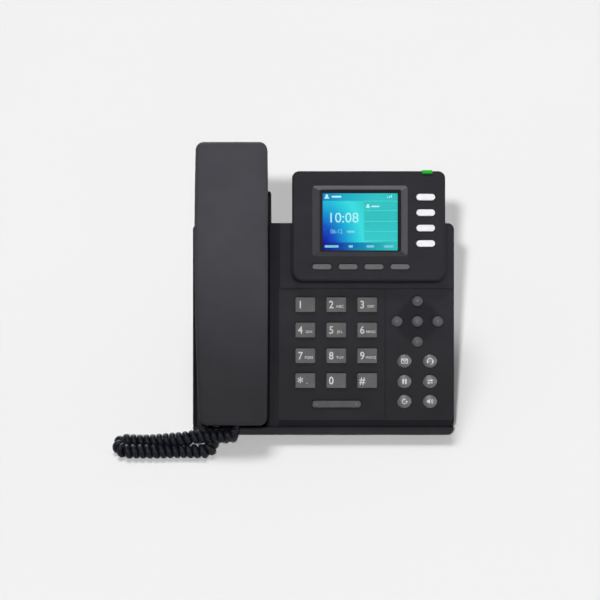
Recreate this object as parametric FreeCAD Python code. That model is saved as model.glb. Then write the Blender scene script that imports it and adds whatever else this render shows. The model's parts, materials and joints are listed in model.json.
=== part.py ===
import FreeCAD, Part
# Desk IP telephone: wedge-shaped base on an easel stand, colour display head,
# push keys, and a corded handset lying in a cradle on the left.
# Working frame while modelling: u = right across the face, v = up along the face,
# w = straight out of the face.  At the end everything is leaned back by TILT and
# set on the desk, which is z = 0 in the part frame (+Z up, -Y towards the user).
import math, os
from FreeCAD import Vector as V

os.makedirs("parts", exist_ok=True)

# ---------------------------------------------------------------- dimensions (mm)
TILT = 45.0            # face angle above the desk
FOOT_H = 2.0           # rubber foot height under the housing
BASE_HALF = 98.0       # half width of the base
BASE_TOP = 159.0       # shoulder height along the face
DECK_LOW = 11.2         # lower edge of the key deck
STEP_V = 109.6         # step between key deck and display field
FIELD_W = 1.6          # how far the display field stands above the key deck
WALL = 2.2             # moulded wall thickness
PART_W = -12.0         # parting plane between front and rear housing
TONGUE_TOP = 183.0     # top of the ear-cup tongue behind the handset
CRADLE_U = -33.4       # right edge of the sloped strip beside the cradle trough
CRADLE_W = -9.0        # floor of the cradle trough
HEAD_U = (-23.4, 91.0) # display head, left and right
HEAD_V = (115.3, 197.5)
HEAD_W = 10.5          # front face of the display head
SCREEN_U = (-0.5, 55.5)
SCREEN_V = (138.3, 181.0)
FRAME_U = (-8.2, 62.9)  # sloped screen surround
FRAME_V = (133.6, 186.6)
KEY_RISE = 2.0         # key top above the deck
KEY_GAP = 0.35         # key to hole, each side
KEY_TRAVEL = 1.2
HS_V = (7.7, 219.0)    # handset, bottom and top ends
HS_PART_W = 14.0       # handset shell parting plane
REAR_LOW = -22.0       # rear face at the bottom edge
REAR_HIGH = -36.0      # rear face at the shoulder
TONGUE_REAR = -26.0  # back of the tongue at its top end
FACET = -17.0          # v + w of the flat strip under the bottom edge, level with the desk
CORD_R = 5.3           # outside radius of the curled cord
LEAD_R = 2.0           # radius of the straight cord at both ends
Y0 = -76.99
Z0 = FOOT_H - FACET * math.sin(math.radians(TILT))  # lift that puts the rubber feet on the desk

nodes = {}


# ---------------------------------------------------------------- helpers
def rwire(u0, u1, v0, v1, r, w=0.0):
    """Rounded rectangle wire in a plane of constant w; r is one radius or (bl, br, tr, tl)."""
    bl, br, tr, tl = (r,) * 4 if not isinstance(r, tuple) else r
    k = math.sqrt(0.5)
    e = []

    def line(a, b):
        if (b - a).Length > 1e-6:
            e.append(Part.LineSegment(a, b).toShape())

    def arc(c, rad, a0):
        if rad > 1e-6:
            p = [V(c[0] + rad * math.cos(a), c[1] + rad * math.sin(a), w) for a in (a0, a0 + math.pi / 4, a0 + math.pi / 2)]
            e.append(Part.Arc(*p).toShape())

    line(V(u0 + bl, v0, w), V(u1 - br, v0, w))
    arc((u1 - br, v0 + br), br, -math.pi / 2)
    line(V(u1, v0 + br, w), V(u1, v1 - tr, w))
    arc((u1 - tr, v1 - tr), tr, 0)
    line(V(u1 - tr, v1, w), V(u0 + tl, v1, w))
    arc((u0 + tl, v1 - tl), tl, math.pi / 2)
    line(V(u0, v1 - tl, w), V(u0, v0 + bl, w))
    arc((u0 + bl, v0 + bl), bl, math.pi)
    return Part.Wire(e)


def rbox(u0, u1, v0, v1, w0, w1, r=0.0):
    """Block with its upright edges rounded."""
    if r == 0.0:
        return Part.makeBox(u1 - u0, v1 - v0, w1 - w0, V(u0, v0, w0))
    return Part.Face(rwire(u0, u1, v0, v1, r, w0)).extrude(V(0, 0, w1 - w0))


def side(points, u0, u1):
    """Polygon in (v, w) pulled along u."""
    p = [V(u0, a, b) for a, b in points]
    return Part.Face(Part.makePolygon(p + [p[0]])).extrude(V(u1 - u0, 0, 0))


def across(points, v0, v1):
    """Polygon in (u, w) pulled along v."""
    p = [V(a, v0, b) for a, b in points]
    return Part.Face(Part.makePolygon(p + [p[0]])).extrude(V(0, v1 - v0, 0))


def cyl(u, v, w0, w1, r):
    return Part.makeCylinder(r, w1 - w0, V(u, v, w0), V(0, 0, 1))


def rounded(shape, pick, r):
    """Fillet the edges that pick() accepts; keep the sharp shape if the fillet fails."""
    edges = [e for e in shape.Edges if pick(e)]
    for rad in (r, r * 0.7, r * 0.45):
        try:
            done = shape.makeFillet(rad, edges)
            if done.isValid() and done.Volume > 0 and len(done.Solids) == len(shape.Solids):
                return done
        except Exception:
            pass
    print("fillet left out", len(edges), r)
    return shape


def at_w(w, tol=1e-4):
    """Edges that lie wholly at one height."""
    return lambda e: all(abs(p.z - w) < tol for p in (e.valueAt(e.FirstParameter), e.valueAt(e.LastParameter), e.valueAt((e.FirstParameter + e.LastParameter) / 2)))


def one(shape):
    """The clean single solid of a result."""
    shape = shape.removeSplitter()
    solids = sorted(shape.Solids, key=lambda s: -s.Volume)
    if len(solids) > 1:
        print("  pieces", [round(s.Volume, 2) for s in solids])
    return solids[0]


def rear_w(v):
    return REAR_LOW + (REAR_HIGH - REAR_LOW) * v / BASE_TOP


def tongue_w(v):
    return REAR_HIGH + (TONGUE_REAR - REAR_HIGH) * (v - BASE_TOP) / (TONGUE_TOP - BASE_TOP)


# ---------------------------------------------------------------- key layout (u, v)
DIAL_U = (-13.5, 9.7, 32.9)
DIAL_V = (97.7, 78.7, 59.4, 40.8)
DIAL_NAMES = (("1", "2", "3"), ("4", "5", "6"), ("7", "8", "9"), ("star", "0", "hash"))
DIAL_SIZE = (14.6, 11.2)
SOFT_U = (-1.1, 18.4, 37.7, 57.2)
SOFT_V = 126.0
SOFT_SIZE = (14.2, 4.0)
LINE_U = 76.3
LINE_V = (178.0, 166.4, 154.9, 143.4)
LINE_SIZE = (13.9, 4.9)
NAV_C = (70.6, 85.2)
NAV_STEP = 15.3
NAV_R = 3.9
FUNC_U = (60.9, 80.1)
FUNC_V = (55.5, 40.1, 25.2)
FUNC_R = 5.0
FUNC_NAMES = (("message", "headset"), ("hold", "transfer"), ("redial", "speaker"))
VOL_C = (10.0, 23.2)
VOL_SIZE = (36.2, 5.2)
NAV_DISH_R = 17.2
NAV_DISH_DEPTH = 1.0
VOL_CORNER = 1.9

# ---------------------------------------------------------------- front housing
deck = rbox(-BASE_HALF, BASE_HALF, 6.0, BASE_TOP, PART_W, 0.0, (2.5, 3.5, 5.0, 5.0))
field = rbox(-33.0, BASE_HALF, STEP_V, BASE_TOP, -3.0, FIELD_W, (1.5, 0.01, 5.0, 1.5))
tongue = rbox(-95.2, -39.2, 148.0, TONGUE_TOP, PART_W, -4.2, (0.01, 0.01, 1.6, 5.0))
front = deck.fuse(field).fuse(tongue)
# sloped lower edge of the deck
front = front.cut(side([(3, 3), (DECK_LOW, 3), (DECK_LOW, 0), (6.0, -5.4), (3, -5.4)], -120, 120))
# the left rim of the cradle is lower than the deck
front = front.cut(rbox(-120, -90, 0, 200, -6.2, 5))
# handset trough, open at both ends
trough = across([(-97.4, 6), (-97.4, -6.2), (-95.2, CRADLE_W), (-40.7, CRADLE_W), (-40.3, -2.0), (CRADLE_U, -0.15), (CRADLE_U, 6)], -5, 200)
front = front.cut(trough)
# hollow inside
front = front.cut(rbox(-31.0, BASE_HALF - WALL, 13.0, STEP_V + WALL, PART_W - 1, -WALL))
front = front.cut(side([(6 + WALL, -5.4), (6 + WALL, -30), (13.1, -30), (13.1, -WALL), (11.3, -WALL)], -31.0, BASE_HALF - WALL))
front = front.cut(rbox(-37.8, -30.9, 13.0, BASE_TOP - WALL, PART_W - 1, -4.6))
front = front.cut(rbox(-31.0, BASE_HALF - WALL, STEP_V + WALL - 0.1, BASE_TOP - WALL, PART_W - 1, FIELD_W - WALL))
front = front.cut(rbox(-BASE_HALF + WALL, -39.6, 6.0 + WALL, BASE_TOP - WALL, PART_W - 1, CRADLE_W - WALL))
front = front.cut(rbox(-93.0, -41.4, BASE_TOP - WALL - 1, TONGUE_TOP - WALL, PART_W - 1, CRADLE_W - WALL))
# navigation dish and the fine line between dial field and function field
dish_r = (NAV_DISH_R ** 2 + NAV_DISH_DEPTH ** 2) / (2 * NAV_DISH_DEPTH)
front = front.cut(Part.makeSphere(dish_r, V(NAV_C[0], NAV_C[1], dish_r - NAV_DISH_DEPTH)).common(rbox(NAV_C[0] - 20, NAV_C[0] + 20, NAV_C[1] - 20, NAV_C[1] + 20, -2, 0.02)))
front = front.cut(rbox(46.1, 46.7, 12.5, 108.5, -0.35, 1.0))

KEYS = []  # name, u, v, half sizes or radius, face height, deck underside, rise
for r, row in enumerate(DIAL_NAMES):
    for c, n in enumerate(row):
        KEYS.append(("key_" + n, DIAL_U[c], DIAL_V[r], DIAL_SIZE, 0.0, -WALL, KEY_RISE, 0.8))
for n, du, dv in (("up", 0, 1), ("left", -1, 0), ("ok", 0, 0), ("right", 1, 0), ("down", 0, -1)):
    KEYS.append(("nav_" + n, NAV_C[0] + NAV_STEP * du, NAV_C[1] + NAV_STEP * dv, NAV_R, 0.0, -WALL, 1.6, 0.5))
for r, row in enumerate(FUNC_NAMES):
    for c, n in enumerate(row):
        KEYS.append((n + "_key", FUNC_U[c], FUNC_V[r], FUNC_R, 0.0, -WALL, 1.8, 0.6))
HEAD_WALL = 3.4
for i, u in enumerate(SOFT_U):
    KEYS.append((f"soft_key_{i + 1}", u, SOFT_V, SOFT_SIZE, HEAD_W, HEAD_W - HEAD_WALL, 1.2, 2.15))
for i, v in enumerate(LINE_V):
    KEYS.append((f"line_key_{i + 1}", LINE_U, v, LINE_SIZE, HEAD_W, HEAD_W - HEAD_WALL, 1.2, 2.75))


def key_column(u, v, size, w0, w1, grow, corner):
    if isinstance(size, tuple):
        a, b = size[0] / 2 + grow, size[1] / 2 + grow
        return rbox(u - a, u + a, v - b, v + b, w0, w1, min(corner + max(grow, 0), a - 0.01, b - 0.01))
    return cyl(u, v, w0, w1, size + grow)


# key windows in the deck
for name, u, v, size, face, under, rise, corner in KEYS:
    if face == 0.0:
        front = front.cut(key_column(u, v, size, -6, 3, KEY_GAP, corner))
front = front.cut(rbox(VOL_C[0] - VOL_SIZE[0] / 2 - KEY_GAP, VOL_C[0] + VOL_SIZE[0] / 2 + KEY_GAP, VOL_C[1] - VOL_SIZE[1] / 2 - KEY_GAP, VOL_C[1] + VOL_SIZE[1] / 2 + KEY_GAP, -6, 3, VOL_CORNER + KEY_GAP))
# cable window behind the display, hook window, loudspeaker slots, cradle tab slot
front = front.cut(rbox(10, 50, 124, 148, -5, 5, 3))
HOOK_C = (-69.3, 170.0)
front = front.cut(rbox(HOOK_C[0] - 4.85, HOOK_C[0] + 4.85, HOOK_C[1] - 3.85, HOOK_C[1] + 3.85, -14, -5, 2.2))
SPK_C = (-68.0, 100.0)
for i in range(-3, 4):
    half = math.sqrt(17.0**2 - (i * 4.6) ** 2)
    front = front.cut(rbox(SPK_C[0] - half, SPK_C[0] + half, SPK_C[1] + i * 4.6 - 0.9, SPK_C[1] + i * 4.6 + 0.9, -14, -5, 0.89))
front = front.cut(rbox(-73.2, -65.4, 176.4, 180.6, -14, -5, 0.6))
# screw posts
POSTS = ((-26.0, 152.5), (91.5, 152.5), (-26.0, 14.0), (91.5, 14.0))
for u, v in POSTS:
    top = (FIELD_W if v > STEP_V else 0.0) - WALL + 0.2
    front = front.fuse(cyl(u, v, -14.6, top, 3.2)).cut(cyl(u, v, -15, top - 1.6, 1.45))
front = one(front)
front = rounded(front, lambda e: at_w(FIELD_W)(e) and abs(e.CenterOfMass.y - STEP_V) < 0.05 and e.Length > 60, 0.9)
nodes["front_housing"] = front

# ---------------------------------------------------------------- rear housing
TOWER_W = 1.3
FACET_V = (FACET - REAR_LOW) / (1 + (REAR_HIGH - REAR_LOW) / BASE_TOP)  # where the strip meets the rear face
rear = side([(0, PART_W), (0, FACET), (FACET_V, FACET - FACET_V), (BASE_TOP, REAR_HIGH), (BASE_TOP, PART_W)], -BASE_HALF, BASE_HALF)
rear = rounded(rear, lambda e: abs(abs(e.CenterOfMass.x) - BASE_HALF) < 1e-3 and e.CenterOfMass.z < PART_W - 8 and abs(e.CenterOfMass.y - 80) < 30, 3.0)
rear = rear.common(rbox(-BASE_HALF, BASE_HALF, 0, BASE_TOP, -60, 20, (5.0, 5.0, 5.0, 5.0)))
lip = rbox(-BASE_HALF, BASE_HALF, 0.0, 5.8, -14.0, -5.6, (5.0, 5.0, 0.01, 0.01))
lip = rounded(lip, lambda e: at_w(-5.6)(e) and e.CenterOfMass.y < 1.0, 1.6)
rear = rear.fuse(lip)
tower = rbox(HEAD_U[0], HEAD_U[1], BASE_TOP + 0.2, HEAD_V[1], -14.0, TOWER_W, (0.01, 0.01, 5.5, 5.5))
tower = rounded(tower, lambda e: at_w(-14.0)(e) and e.CenterOfMass.y > BASE_TOP + 2, 3.0)
rear = rear.fuse(tower).fuse(rbox(HEAD_U[0], HEAD_U[1], 150, BASE_TOP + 1, -18.0, PART_W - 0.0, 0.0))
rear = rear.fuse(side([(150, PART_W), (TONGUE_TOP, PART_W), (TONGUE_TOP, TONGUE_REAR), (BASE_TOP - 0.5, rear_w(BASE_TOP - 0.5)), (150, rear_w(150))], -95.2, -39.2).common(rbox(-95.2, -39.2, 100, TONGUE_TOP, -60, 20, (0.01, 0.01, 1.6, 5.0))))
# hollow inside
rear = rear.cut(side([(6.4, PART_W + 0.1), (6.4, -19.6), (8.6, rear_w(8.6) + WALL), (BASE_TOP - WALL, rear_w(BASE_TOP - WALL) + WALL), (BASE_TOP - WALL, PART_W + 0.1)], -BASE_HALF + WALL, BASE_HALF - WALL))
rear = rear.cut(rbox(HEAD_U[0] + WALL, HEAD_U[1] - WALL, BASE_TOP + WALL, HEAD_V[1] - WALL, -11.8, 5, (2.0, 2.0, 4.0, 4.0)))
rear = rear.cut(rbox(10, 50, BASE_TOP - 4, BASE_TOP + 6, -17.0 + WALL, PART_W + 0.0, 0.0))
rear = rear.cut(side([(150, PART_W + 1), (TONGUE_TOP - WALL, PART_W + 1), (TONGUE_TOP - WALL, TONGUE_REAR + WALL), (BASE_TOP - 0.5, rear_w(BASE_TOP - 0.5) + WALL), (150, rear_w(150) + WALL)], -93.0, -41.4))
# cord passage in the lower edge, cut out of both housing walls
PORT_U = -85.0
rear = rear.cut(rbox(PORT_U - 7.0, PORT_U + 7.0, -2, 13.2, -40, -8.4, (1, 1, 3, 3)))
# network socket windows
JACK_U = (14.0, 34.0)
JACK_V = 128.0
for u in JACK_U:
    rear = rear.cut(rbox(u - 8.3, u + 8.3, JACK_V - 7.1, JACK_V + 7.1, -45, -20))
# stand slots
SLOT_V = 101.0
for u in (-38.0, 38.0):
    rear = rear.cut(rbox(u - 7.3, u + 7.3, SLOT_V - 2.1, SLOT_V + 2.1, -45, -20))
# vent slots, wall hooks and a shallow bare panel on the back
for side_u in (-1, 1):
    for i in range(6):
        u = side_u * (62.0 + i * 4.4)
        rear = rear.cut(rbox(u - 1.0, u + 1.0, 44.0, 72.0, -45, -20, 0.95))
for u in (-30.0, 30.0):
    rear = rear.cut(cyl(u, 58.0, -45, -20, 4.0)).cut(rbox(u - 1.9, u + 1.9, 58.0, 66.0, -45, -20, 1.85))
recess = side([(30, rear_w(30) - 3), (30, rear_w(30) + 0.5), (48, rear_w(48) + 0.5), (48, rear_w(48) - 3)], -18, 18)
rear = rear.cut(recess)
# screw tubes
for u, v in POSTS:
    rear = rear.fuse(cyl(u, v, rear_w(v) + 1.0, -14.8, 4.6)).cut(cyl(u, v, -60, -17.0, 3.0)).cut(cyl(u, v, -20, -14, 1.7))
# hook switch pillar and loudspeaker clamp ring
rear = rear.fuse(side([(HOOK_C[1] - 5, -25.2), (HOOK_C[1] + 5, -25.2), (HOOK_C[1] + 5, tongue_w(HOOK_C[1] + 5) + 1.0), (HOOK_C[1] - 5, tongue_w(HOOK_C[1] - 5) + 1.0)], HOOK_C[0] - 5, HOOK_C[0] + 5))
rear = one(rear)
nodes["rear_housing"] = rear

# ---------------------------------------------------------------- display head
head = rbox(HEAD_U[0], HEAD_U[1], HEAD_V[0], HEAD_V[1], FIELD_W + 0.1, HEAD_W, (8.0, 8.0, 5.5, 5.5))
skirt = rbox(HEAD_U[0] - 1.3, HEAD_U[1] + 1.3, HEAD_V[0] - 1.3, BASE_TOP - 0.2, FIELD_W + 0.1, 4.6, (9.0, 9.0, 0.01, 0.01))
skirt = rounded(skirt, at_w(4.6), 1.2)
head = head.fuse(skirt)
head = rounded(head, at_w(HEAD_W), 1.8)
head = head.cut(rbox(HEAD_U[0] + WALL, HEAD_U[1] - WALL, HEAD_V[0] + WALL, HEAD_V[1] - WALL, -5, HEAD_W - HEAD_WALL, 4.0))
inner = rwire(SCREEN_U[0], SCREEN_U[1], SCREEN_V[0], SCREEN_V[1], 0.6, HEAD_W - 2.6)
outer = rwire(FRAME_U[0], FRAME_U[1], FRAME_V[0], FRAME_V[1], 2.4, HEAD_W + 0.02)
head = head.cut(Part.makeLoft([inner, outer], True, True))
head = head.cut(rbox(SCREEN_U[0], SCREEN_U[1], SCREEN_V[0], SCREEN_V[1], 5, HEAD_W, 0.6))
for name, u, v, size, face, under, rise, corner in KEYS:
    if face == HEAD_W:
        head = head.cut(key_column(u, v, size, 4, 14, 0.3, corner))
LIGHT_U = (73.7, 81.3)
head = head.cut(rbox(LIGHT_U[0] - 0.1, LIGHT_U[1] + 0.1, HEAD_V[1] - 3.4, HEAD_V[1] + 3, 5.0, 14))
nodes["display_bezel"] = one(head)

light = rbox(LIGHT_U[0], LIGHT_U[1], HEAD_V[1] - 3.3, HEAD_V[1] + 0.8, 5.2, HEAD_W + 0.05)
light = rounded(light, lambda e: abs(e.CenterOfMass.y - HEAD_V[1] - 0.8) < 0.01 and abs(e.CenterOfMass.z - HEAD_W - 0.05) < 0.01, 1.5)
nodes["message_light_pipe"] = light
nodes["display_lens"] = rbox(SCREEN_U[0] - 2.5, SCREEN_U[1] + 2.5, SCREEN_V[0] - 2.5, SCREEN_V[1] + 2.5, 6.0, 7.0, 1.0)
nodes["lcd_module"] = rbox(SCREEN_U[0] - 3.4, SCREEN_U[1] + 3.4, SCREEN_V[0] - 3.6, SCREEN_V[1] + 3.0, 3.6, 5.9, 0.6)
nodes["display_board"] = rbox(-18.5, 87.0, 120.0, 192.0, 1.9, 3.4, 1.0).cut(rbox(12, 48, 125.5, 134, 0, 5, 1.5))

# ---------------------------------------------------------------- keys
KEY_FLANGE = 1.0
for name, u, v, size, face, under, rise, corner in KEYS:
    top = face + rise
    cap = key_column(u, v, size, under - 0.7, top, 0.0, corner)
    if isinstance(size, tuple):
        cap = rounded(cap, at_w(top), 0.55)
    else:
        dome = (1.7 if size == FUNC_R else 2.2) * size
        cap = one(cap.common(Part.makeSphere(dome, V(u, v, top - dome))))
        cap = rounded(cap, lambda e: e.Length > 5 and top - 1.9 < e.CenterOfMass.z < top - 0.05, 0.3)
    flange = key_column(u, v, size, under - 1.2, under - 0.2, KEY_FLANGE, corner)
    post = key_column(u, v, size, under - (2.0 if face == 0.0 else 2.1), under - 1.0, -1.2, max(corner - 1.2, 0.4))
    nodes[name] = one(cap.fuse(flange).fuse(post))

# volume rocker on two trunnions
VOL_AXIS_W = -3.6
a, b = VOL_SIZE[0] / 2, VOL_SIZE[1] / 2
cap = rounded(rbox(VOL_C[0] - a, VOL_C[0] + a, VOL_C[1] - b, VOL_C[1] + b, -3.6, KEY_RISE - 0.2, VOL_CORNER), at_w(KEY_RISE - 0.2), 0.55)
flange = rbox(VOL_C[0] - a - 0.8, VOL_C[0] + a + 0.8, VOL_C[1] - b - 0.8, VOL_C[1] + b + 0.8, -4.1, -3.3, VOL_CORNER + 0.8)
pins = Part.makeCylinder(1.0, 2 * b + 4.6, V(VOL_C[0], VOL_C[1] - b - 2.3, VOL_AXIS_W), V(0, 1, 0))
rocker = cap.fuse(flange).fuse(pins)
for s in (-1, 1):
    rocker = rocker.fuse(cyl(VOL_C[0] + s * 13.0, VOL_C[1], -4.4, -3.5, 1.6))
nodes["volume_rocker"] = one(rocker)
front = nodes["front_housing"]
for s in (-1, 1):
    v0 = VOL_C[1] + s * (b + 1.0) + (0 if s > 0 else -1.5)
    ear = rbox(VOL_C[0] - 2.2, VOL_C[0] + 2.2, v0, v0 + 1.5, -5.3, -2.0)
    hole = Part.makeCylinder(1.06, 3.0, V(VOL_C[0], v0 - 0.7, VOL_AXIS_W), V(0, 1, 0))
    front = front.fuse(ear).cut(hole)
nodes["front_housing"] = one(front)

# ---------------------------------------------------------------- boards and rubber mats
board = rbox(-21.5, 88.0, 12.5, 149.0, -8.6, -7.0, 1.5)
nodes["main_board"] = board
mat = rbox(-21.0, 89.5, 18.0, 108.0, -7.0, -6.3, 1.0)
head_mat_a = rbox(-11.0, 67.0, 121.0, 131.5, 3.4, 3.8, 1.0)
head_mat_b = rbox(67.5, 86.0, 138.5, 185.0, 3.4, 3.8, 1.0)
for name, u, v, size, face, under, rise, corner in KEYS:
    r = 3.0 if name.startswith("key_") else 2.2
    if face == 0.0:
        mat = mat.fuse(Part.makeCone(r + 0.8, r - 0.4, 0.85, V(u, v, -6.4), V(0, 0, 1)))
for s in (-1, 1):
    mat = mat.fuse(Part.makeCone(2.4, 1.7, 0.75, V(VOL_C[0] + s * 13.0, VOL_C[1], -6.4), V(0, 0, 1)))
nodes["keypad_mat"] = one(mat)
nodes["display_key_mats"] = Part.makeCompound([head_mat_a, head_mat_b])

# ---------------------------------------------------------------- cradle hardware
plunger = rbox(HOOK_C[0] - 4.5, HOOK_C[0] + 4.5, HOOK_C[1] - 3.5, HOOK_C[1] + 3.5, -16.6, -8.9, 2.0)
plunger = rounded(plunger, at_w(-8.9), 1.0)
plunger = plunger.fuse(rbox(HOOK_C[0] - 6.2, HOOK_C[0] + 6.2, HOOK_C[1] - 3.5, HOOK_C[1] + 3.5, -17.0, -15.8, 1.0))
plunger = plunger.fuse(cyl(HOOK_C[0], HOOK_C[1], -17.7, -16.9, 2.0))
nodes["hook_plunger"] = one(plunger)
nodes["hook_switch"] = rbox(HOOK_C[0] - 6.0, HOOK_C[0] + 6.0, HOOK_C[1] - 5.5, HOOK_C[1] + 5.5, -25.2, -19.0, 0.5).fuse(cyl(HOOK_C[0], HOOK_C[1], -19.1, -18.0, 1.5))
tab = rbox(-73.0, -65.6, 176.6, 180.4, -12.0, -7.3, 0.5)
tab = rounded(tab, at_w(-7.3), 0.8).fuse(rbox(-74.6, -64.0, 176.6, 180.5, -12.6, -11.25))
nodes["cradle_tab"] = one(tab)
spk = cyl(SPK_C[0], SPK_C[1], -13.2, CRADLE_W - WALL, 20.5).fuse(Part.makeCone(10.0, 17.0, 6.0, V(SPK_C[0], SPK_C[1], -19.0), V(0, 0, 1))).fuse(cyl(SPK_C[0], SPK_C[1], -25.0, -18.5, 10.5))
spk = spk.cut(Part.makeCone(3.0, 17.0, 4.0, V(SPK_C[0], SPK_C[1], CRADLE_W - WALL - 4.0), V(0, 0, 1)))
nodes["hands_free_speaker"] = one(spk)

# ---------------------------------------------------------------- sockets
jacks = []
for u in JACK_U:
    w_out = rear_w(JACK_V) - 0.4
    j = rbox(u - 8.0, u + 8.0, JACK_V - 6.8, JACK_V + 6.8, w_out, -8.6)
    j = j.cut(rbox(u - 6.0, u + 6.0, JACK_V - 4.4, JACK_V + 3.8, w_out - 1, w_out + 14.0))
    j = j.cut(rbox(u - 3.2, u + 3.2, JACK_V + 3.0, JACK_V + 5.4, w_out - 1, w_out + 14.0))
    jacks.append(j)
nodes["network_sockets"] = Part.makeCompound(jacks)
PORT_W = -16.3
PLUG_BASE_V = 12.6
port = rbox(PORT_U - 6.0, PORT_U + 6.0, 13.4, 29.0, -20.6, -11.6)
port = port.cut(rbox(PORT_U - 4.1, PORT_U + 4.1, 12.0, 26.0, PORT_W - 3.3, PORT_W + 3.3))
nodes["base_handset_port"] = port
nodes["cord_plug_base"] = rbox(PORT_U - 3.8, PORT_U + 3.8, PLUG_BASE_V, 24.0, PORT_W - 3.0, PORT_W + 3.0)

# ---------------------------------------------------------------- stand, feet, screws
K = math.sqrt(0.5)


def vw(y, z):
    """Desk coordinates (before the final shift) to face coordinates."""
    return ((y + z - Z0) * K, (z - Z0 - y) * K)


STAND_U = 62.0
top_flange = side([(88, rear_w(88) - 0.05), (118, rear_w(118) - 0.05), (118, rear_w(118) - 3.05), (88, rear_w(88) - 3.05)], -STAND_U, STAND_U)
leg_top = ((94.0 - rear_w(94) + 1.5) * K, (94.0 + rear_w(94) - 1.5) * K + Z0)
leg_foot = (146.0, FOOT_H + 1.5)
d = (leg_foot[0] - leg_top[0], leg_foot[1] - leg_top[1])
n = math.hypot(*d)
d = (d[0] / n, d[1] / n)
q = (-d[1], d[0])
leg_pts = [vw(leg_top[0] + q[0] * t + d[0] * s, leg_top[1] + q[1] * t + d[1] * s) for s, t in ((0, -1.9), (n, -1.9), (n, 1.9), (0, 1.9))]
leg = side(leg_pts, -STAND_U, STAND_U)
foot = side([vw(128, FOOT_H), vw(150, FOOT_H), vw(150, FOOT_H + 3.2), vw(128, FOOT_H + 3.2)], -STAND_U, STAND_U)
stand = top_flange.fuse(leg).fuse(foot)
win = [vw(leg_top[0] + q[0] * t + d[0] * s, leg_top[1] + q[1] * t + d[1] * s) for s, t in ((n * 0.22, -5), (n * 0.74, -5), (n * 0.74, 5), (n * 0.22, 5))]
stand = stand.cut(side(win, -44, 44))
for u in (-STAND_U, STAND_U - 3.0):
    stand = stand.fuse(side([(118, rear_w(118) - 3.0), vw(leg_top[0] + d[0] * 44, leg_top[1] + d[1] * 44), (92, rear_w(92) - 3.0)], u, u + 3.0))
for u in (-38.0, 38.0):
    stand = stand.fuse(rbox(u - 7.0, u + 7.0, SLOT_V - 1.8, SLOT_V + 1.8, rear_w(SLOT_V) - 2.5, rear_w(SLOT_V) + 4.8))
    stand = stand.fuse(rbox(u - 7.0, u + 7.0, SLOT_V - 1.8, SLOT_V + 5.2, rear_w(SLOT_V) + 2.9, rear_w(SLOT_V) + 4.8))
stand = stand.common(side([vw(60, FOOT_H), vw(200, FOOT_H), vw(200, 120), vw(60, 120)], -100, 100))
nodes["foot_stand"] = one(stand)
pads = []
for u0, u1 in ((-70.0, -50.0), (60.0, 80.0)):
    pads.append(side([vw(13.0, 0.0), vw(19.0, 0.0), vw(19.0, FOOT_H), vw(13.0, FOOT_H)], u0, u1))
for u0, u1 in ((-58.0, -40.0), (40.0, 58.0)):
    pads.append(side([vw(138.0, 0.0), vw(148.0, 0.0), vw(148.0, FOOT_H), vw(138.0, FOOT_H)], u0, u1))
nodes["rubber_feet"] = Part.makeCompound(pads)
screws = []
for u, v in POSTS:
    s = cyl(u, v, -19.4, -17.0, 2.7).fuse(cyl(u, v, -17.1, -6.5, 1.4))
    s = s.cut(rbox(u - 1.8, u + 1.8, v - 0.4, v + 0.4, -20, -18.2)).cut(rbox(u - 0.4, u + 0.4, v - 1.8, v + 1.8, -20, -18.2))
    screws.append(one(s))
nodes["housing_screws"] = Part.makeCompound(screws)

# ---------------------------------------------------------------- handset
HS_C = -68.5
HS_LEAN = 1.2           # the mouth end sits this far to the right
HS_HALF = (25.3, 27.3, 26.6)
HS_MID_V = 132.0
HS_ARC = ((HS_V[0] - 2, 15.2), (112.0, 25.5), (HS_V[1] + 2, 17.6))  # back of the handset along its middle
HS_CROWN_R = 170.0


def hs_plan(inset, w0, w1):
    """Plan of the handset with gently bowed sides, drawn in by inset."""
    v0, v1 = HS_V[0] + inset, HS_V[1] - inset
    hb, hm, ht = (h - inset for h in HS_HALF)
    pts = {k: V(HS_C + s * h + (HS_LEAN if v == v0 else 0.0), v, w0) for k, s, h, v in (("bl", -1, hb, v0), ("ml", -1, hm, HS_MID_V), ("tl", -1, ht, v1), ("br", 1, hb, v0), ("mr", 1, hm, HS_MID_V), ("tr", 1, ht, v1))}
    edges = [Part.LineSegment(pts["bl"], pts["br"]).toShape(), Part.Arc(pts["br"], pts["mr"], pts["tr"]).toShape(), Part.LineSegment(pts["tr"], pts["tl"]).toShape(), Part.Arc(pts["tl"], pts["ml"], pts["bl"]).toShape()]
    body = Part.Face(Part.Wire(edges)).extrude(V(0, 0, w1 - w0))
    upright = [e for e in body.Edges if abs(e.BoundBox.ZLength - (w1 - w0)) < 1e-3 and e.BoundBox.YLength < 1e-3]
    r = 6.0 - min(inset, 4.0)
    return body.makeFillet(r, upright)


def hs_crown(drop):
    """Everything under the back of the handset, arched along its length and crowned across it."""
    axis_w = HS_ARC[1][1] - HS_CROWN_R
    (v0, w0), (v1, w1), (v2, w2) = HS_ARC
    a, m, b = V(HS_C, v0, w0 - drop), V(HS_C, v1, w1 - drop), V(HS_C, v2, w2 - drop)
    pts = [b, V(HS_C, v2, axis_w + 40), V(HS_C, v0, axis_w + 40), a]
    edges = [Part.Arc(a, m, b).toShape()] + [Part.LineSegment(p, q).toShape() for p, q in zip(pts, pts[1:])]
    face = Part.Face(Part.Wire(Part.__sortEdges__(edges)))
    face.rotate(V(HS_C, 0, axis_w), V(0, 1, 0), -25)
    return face.revolve(V(HS_C, 0, axis_w), V(0, 1, 0), 50)


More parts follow.
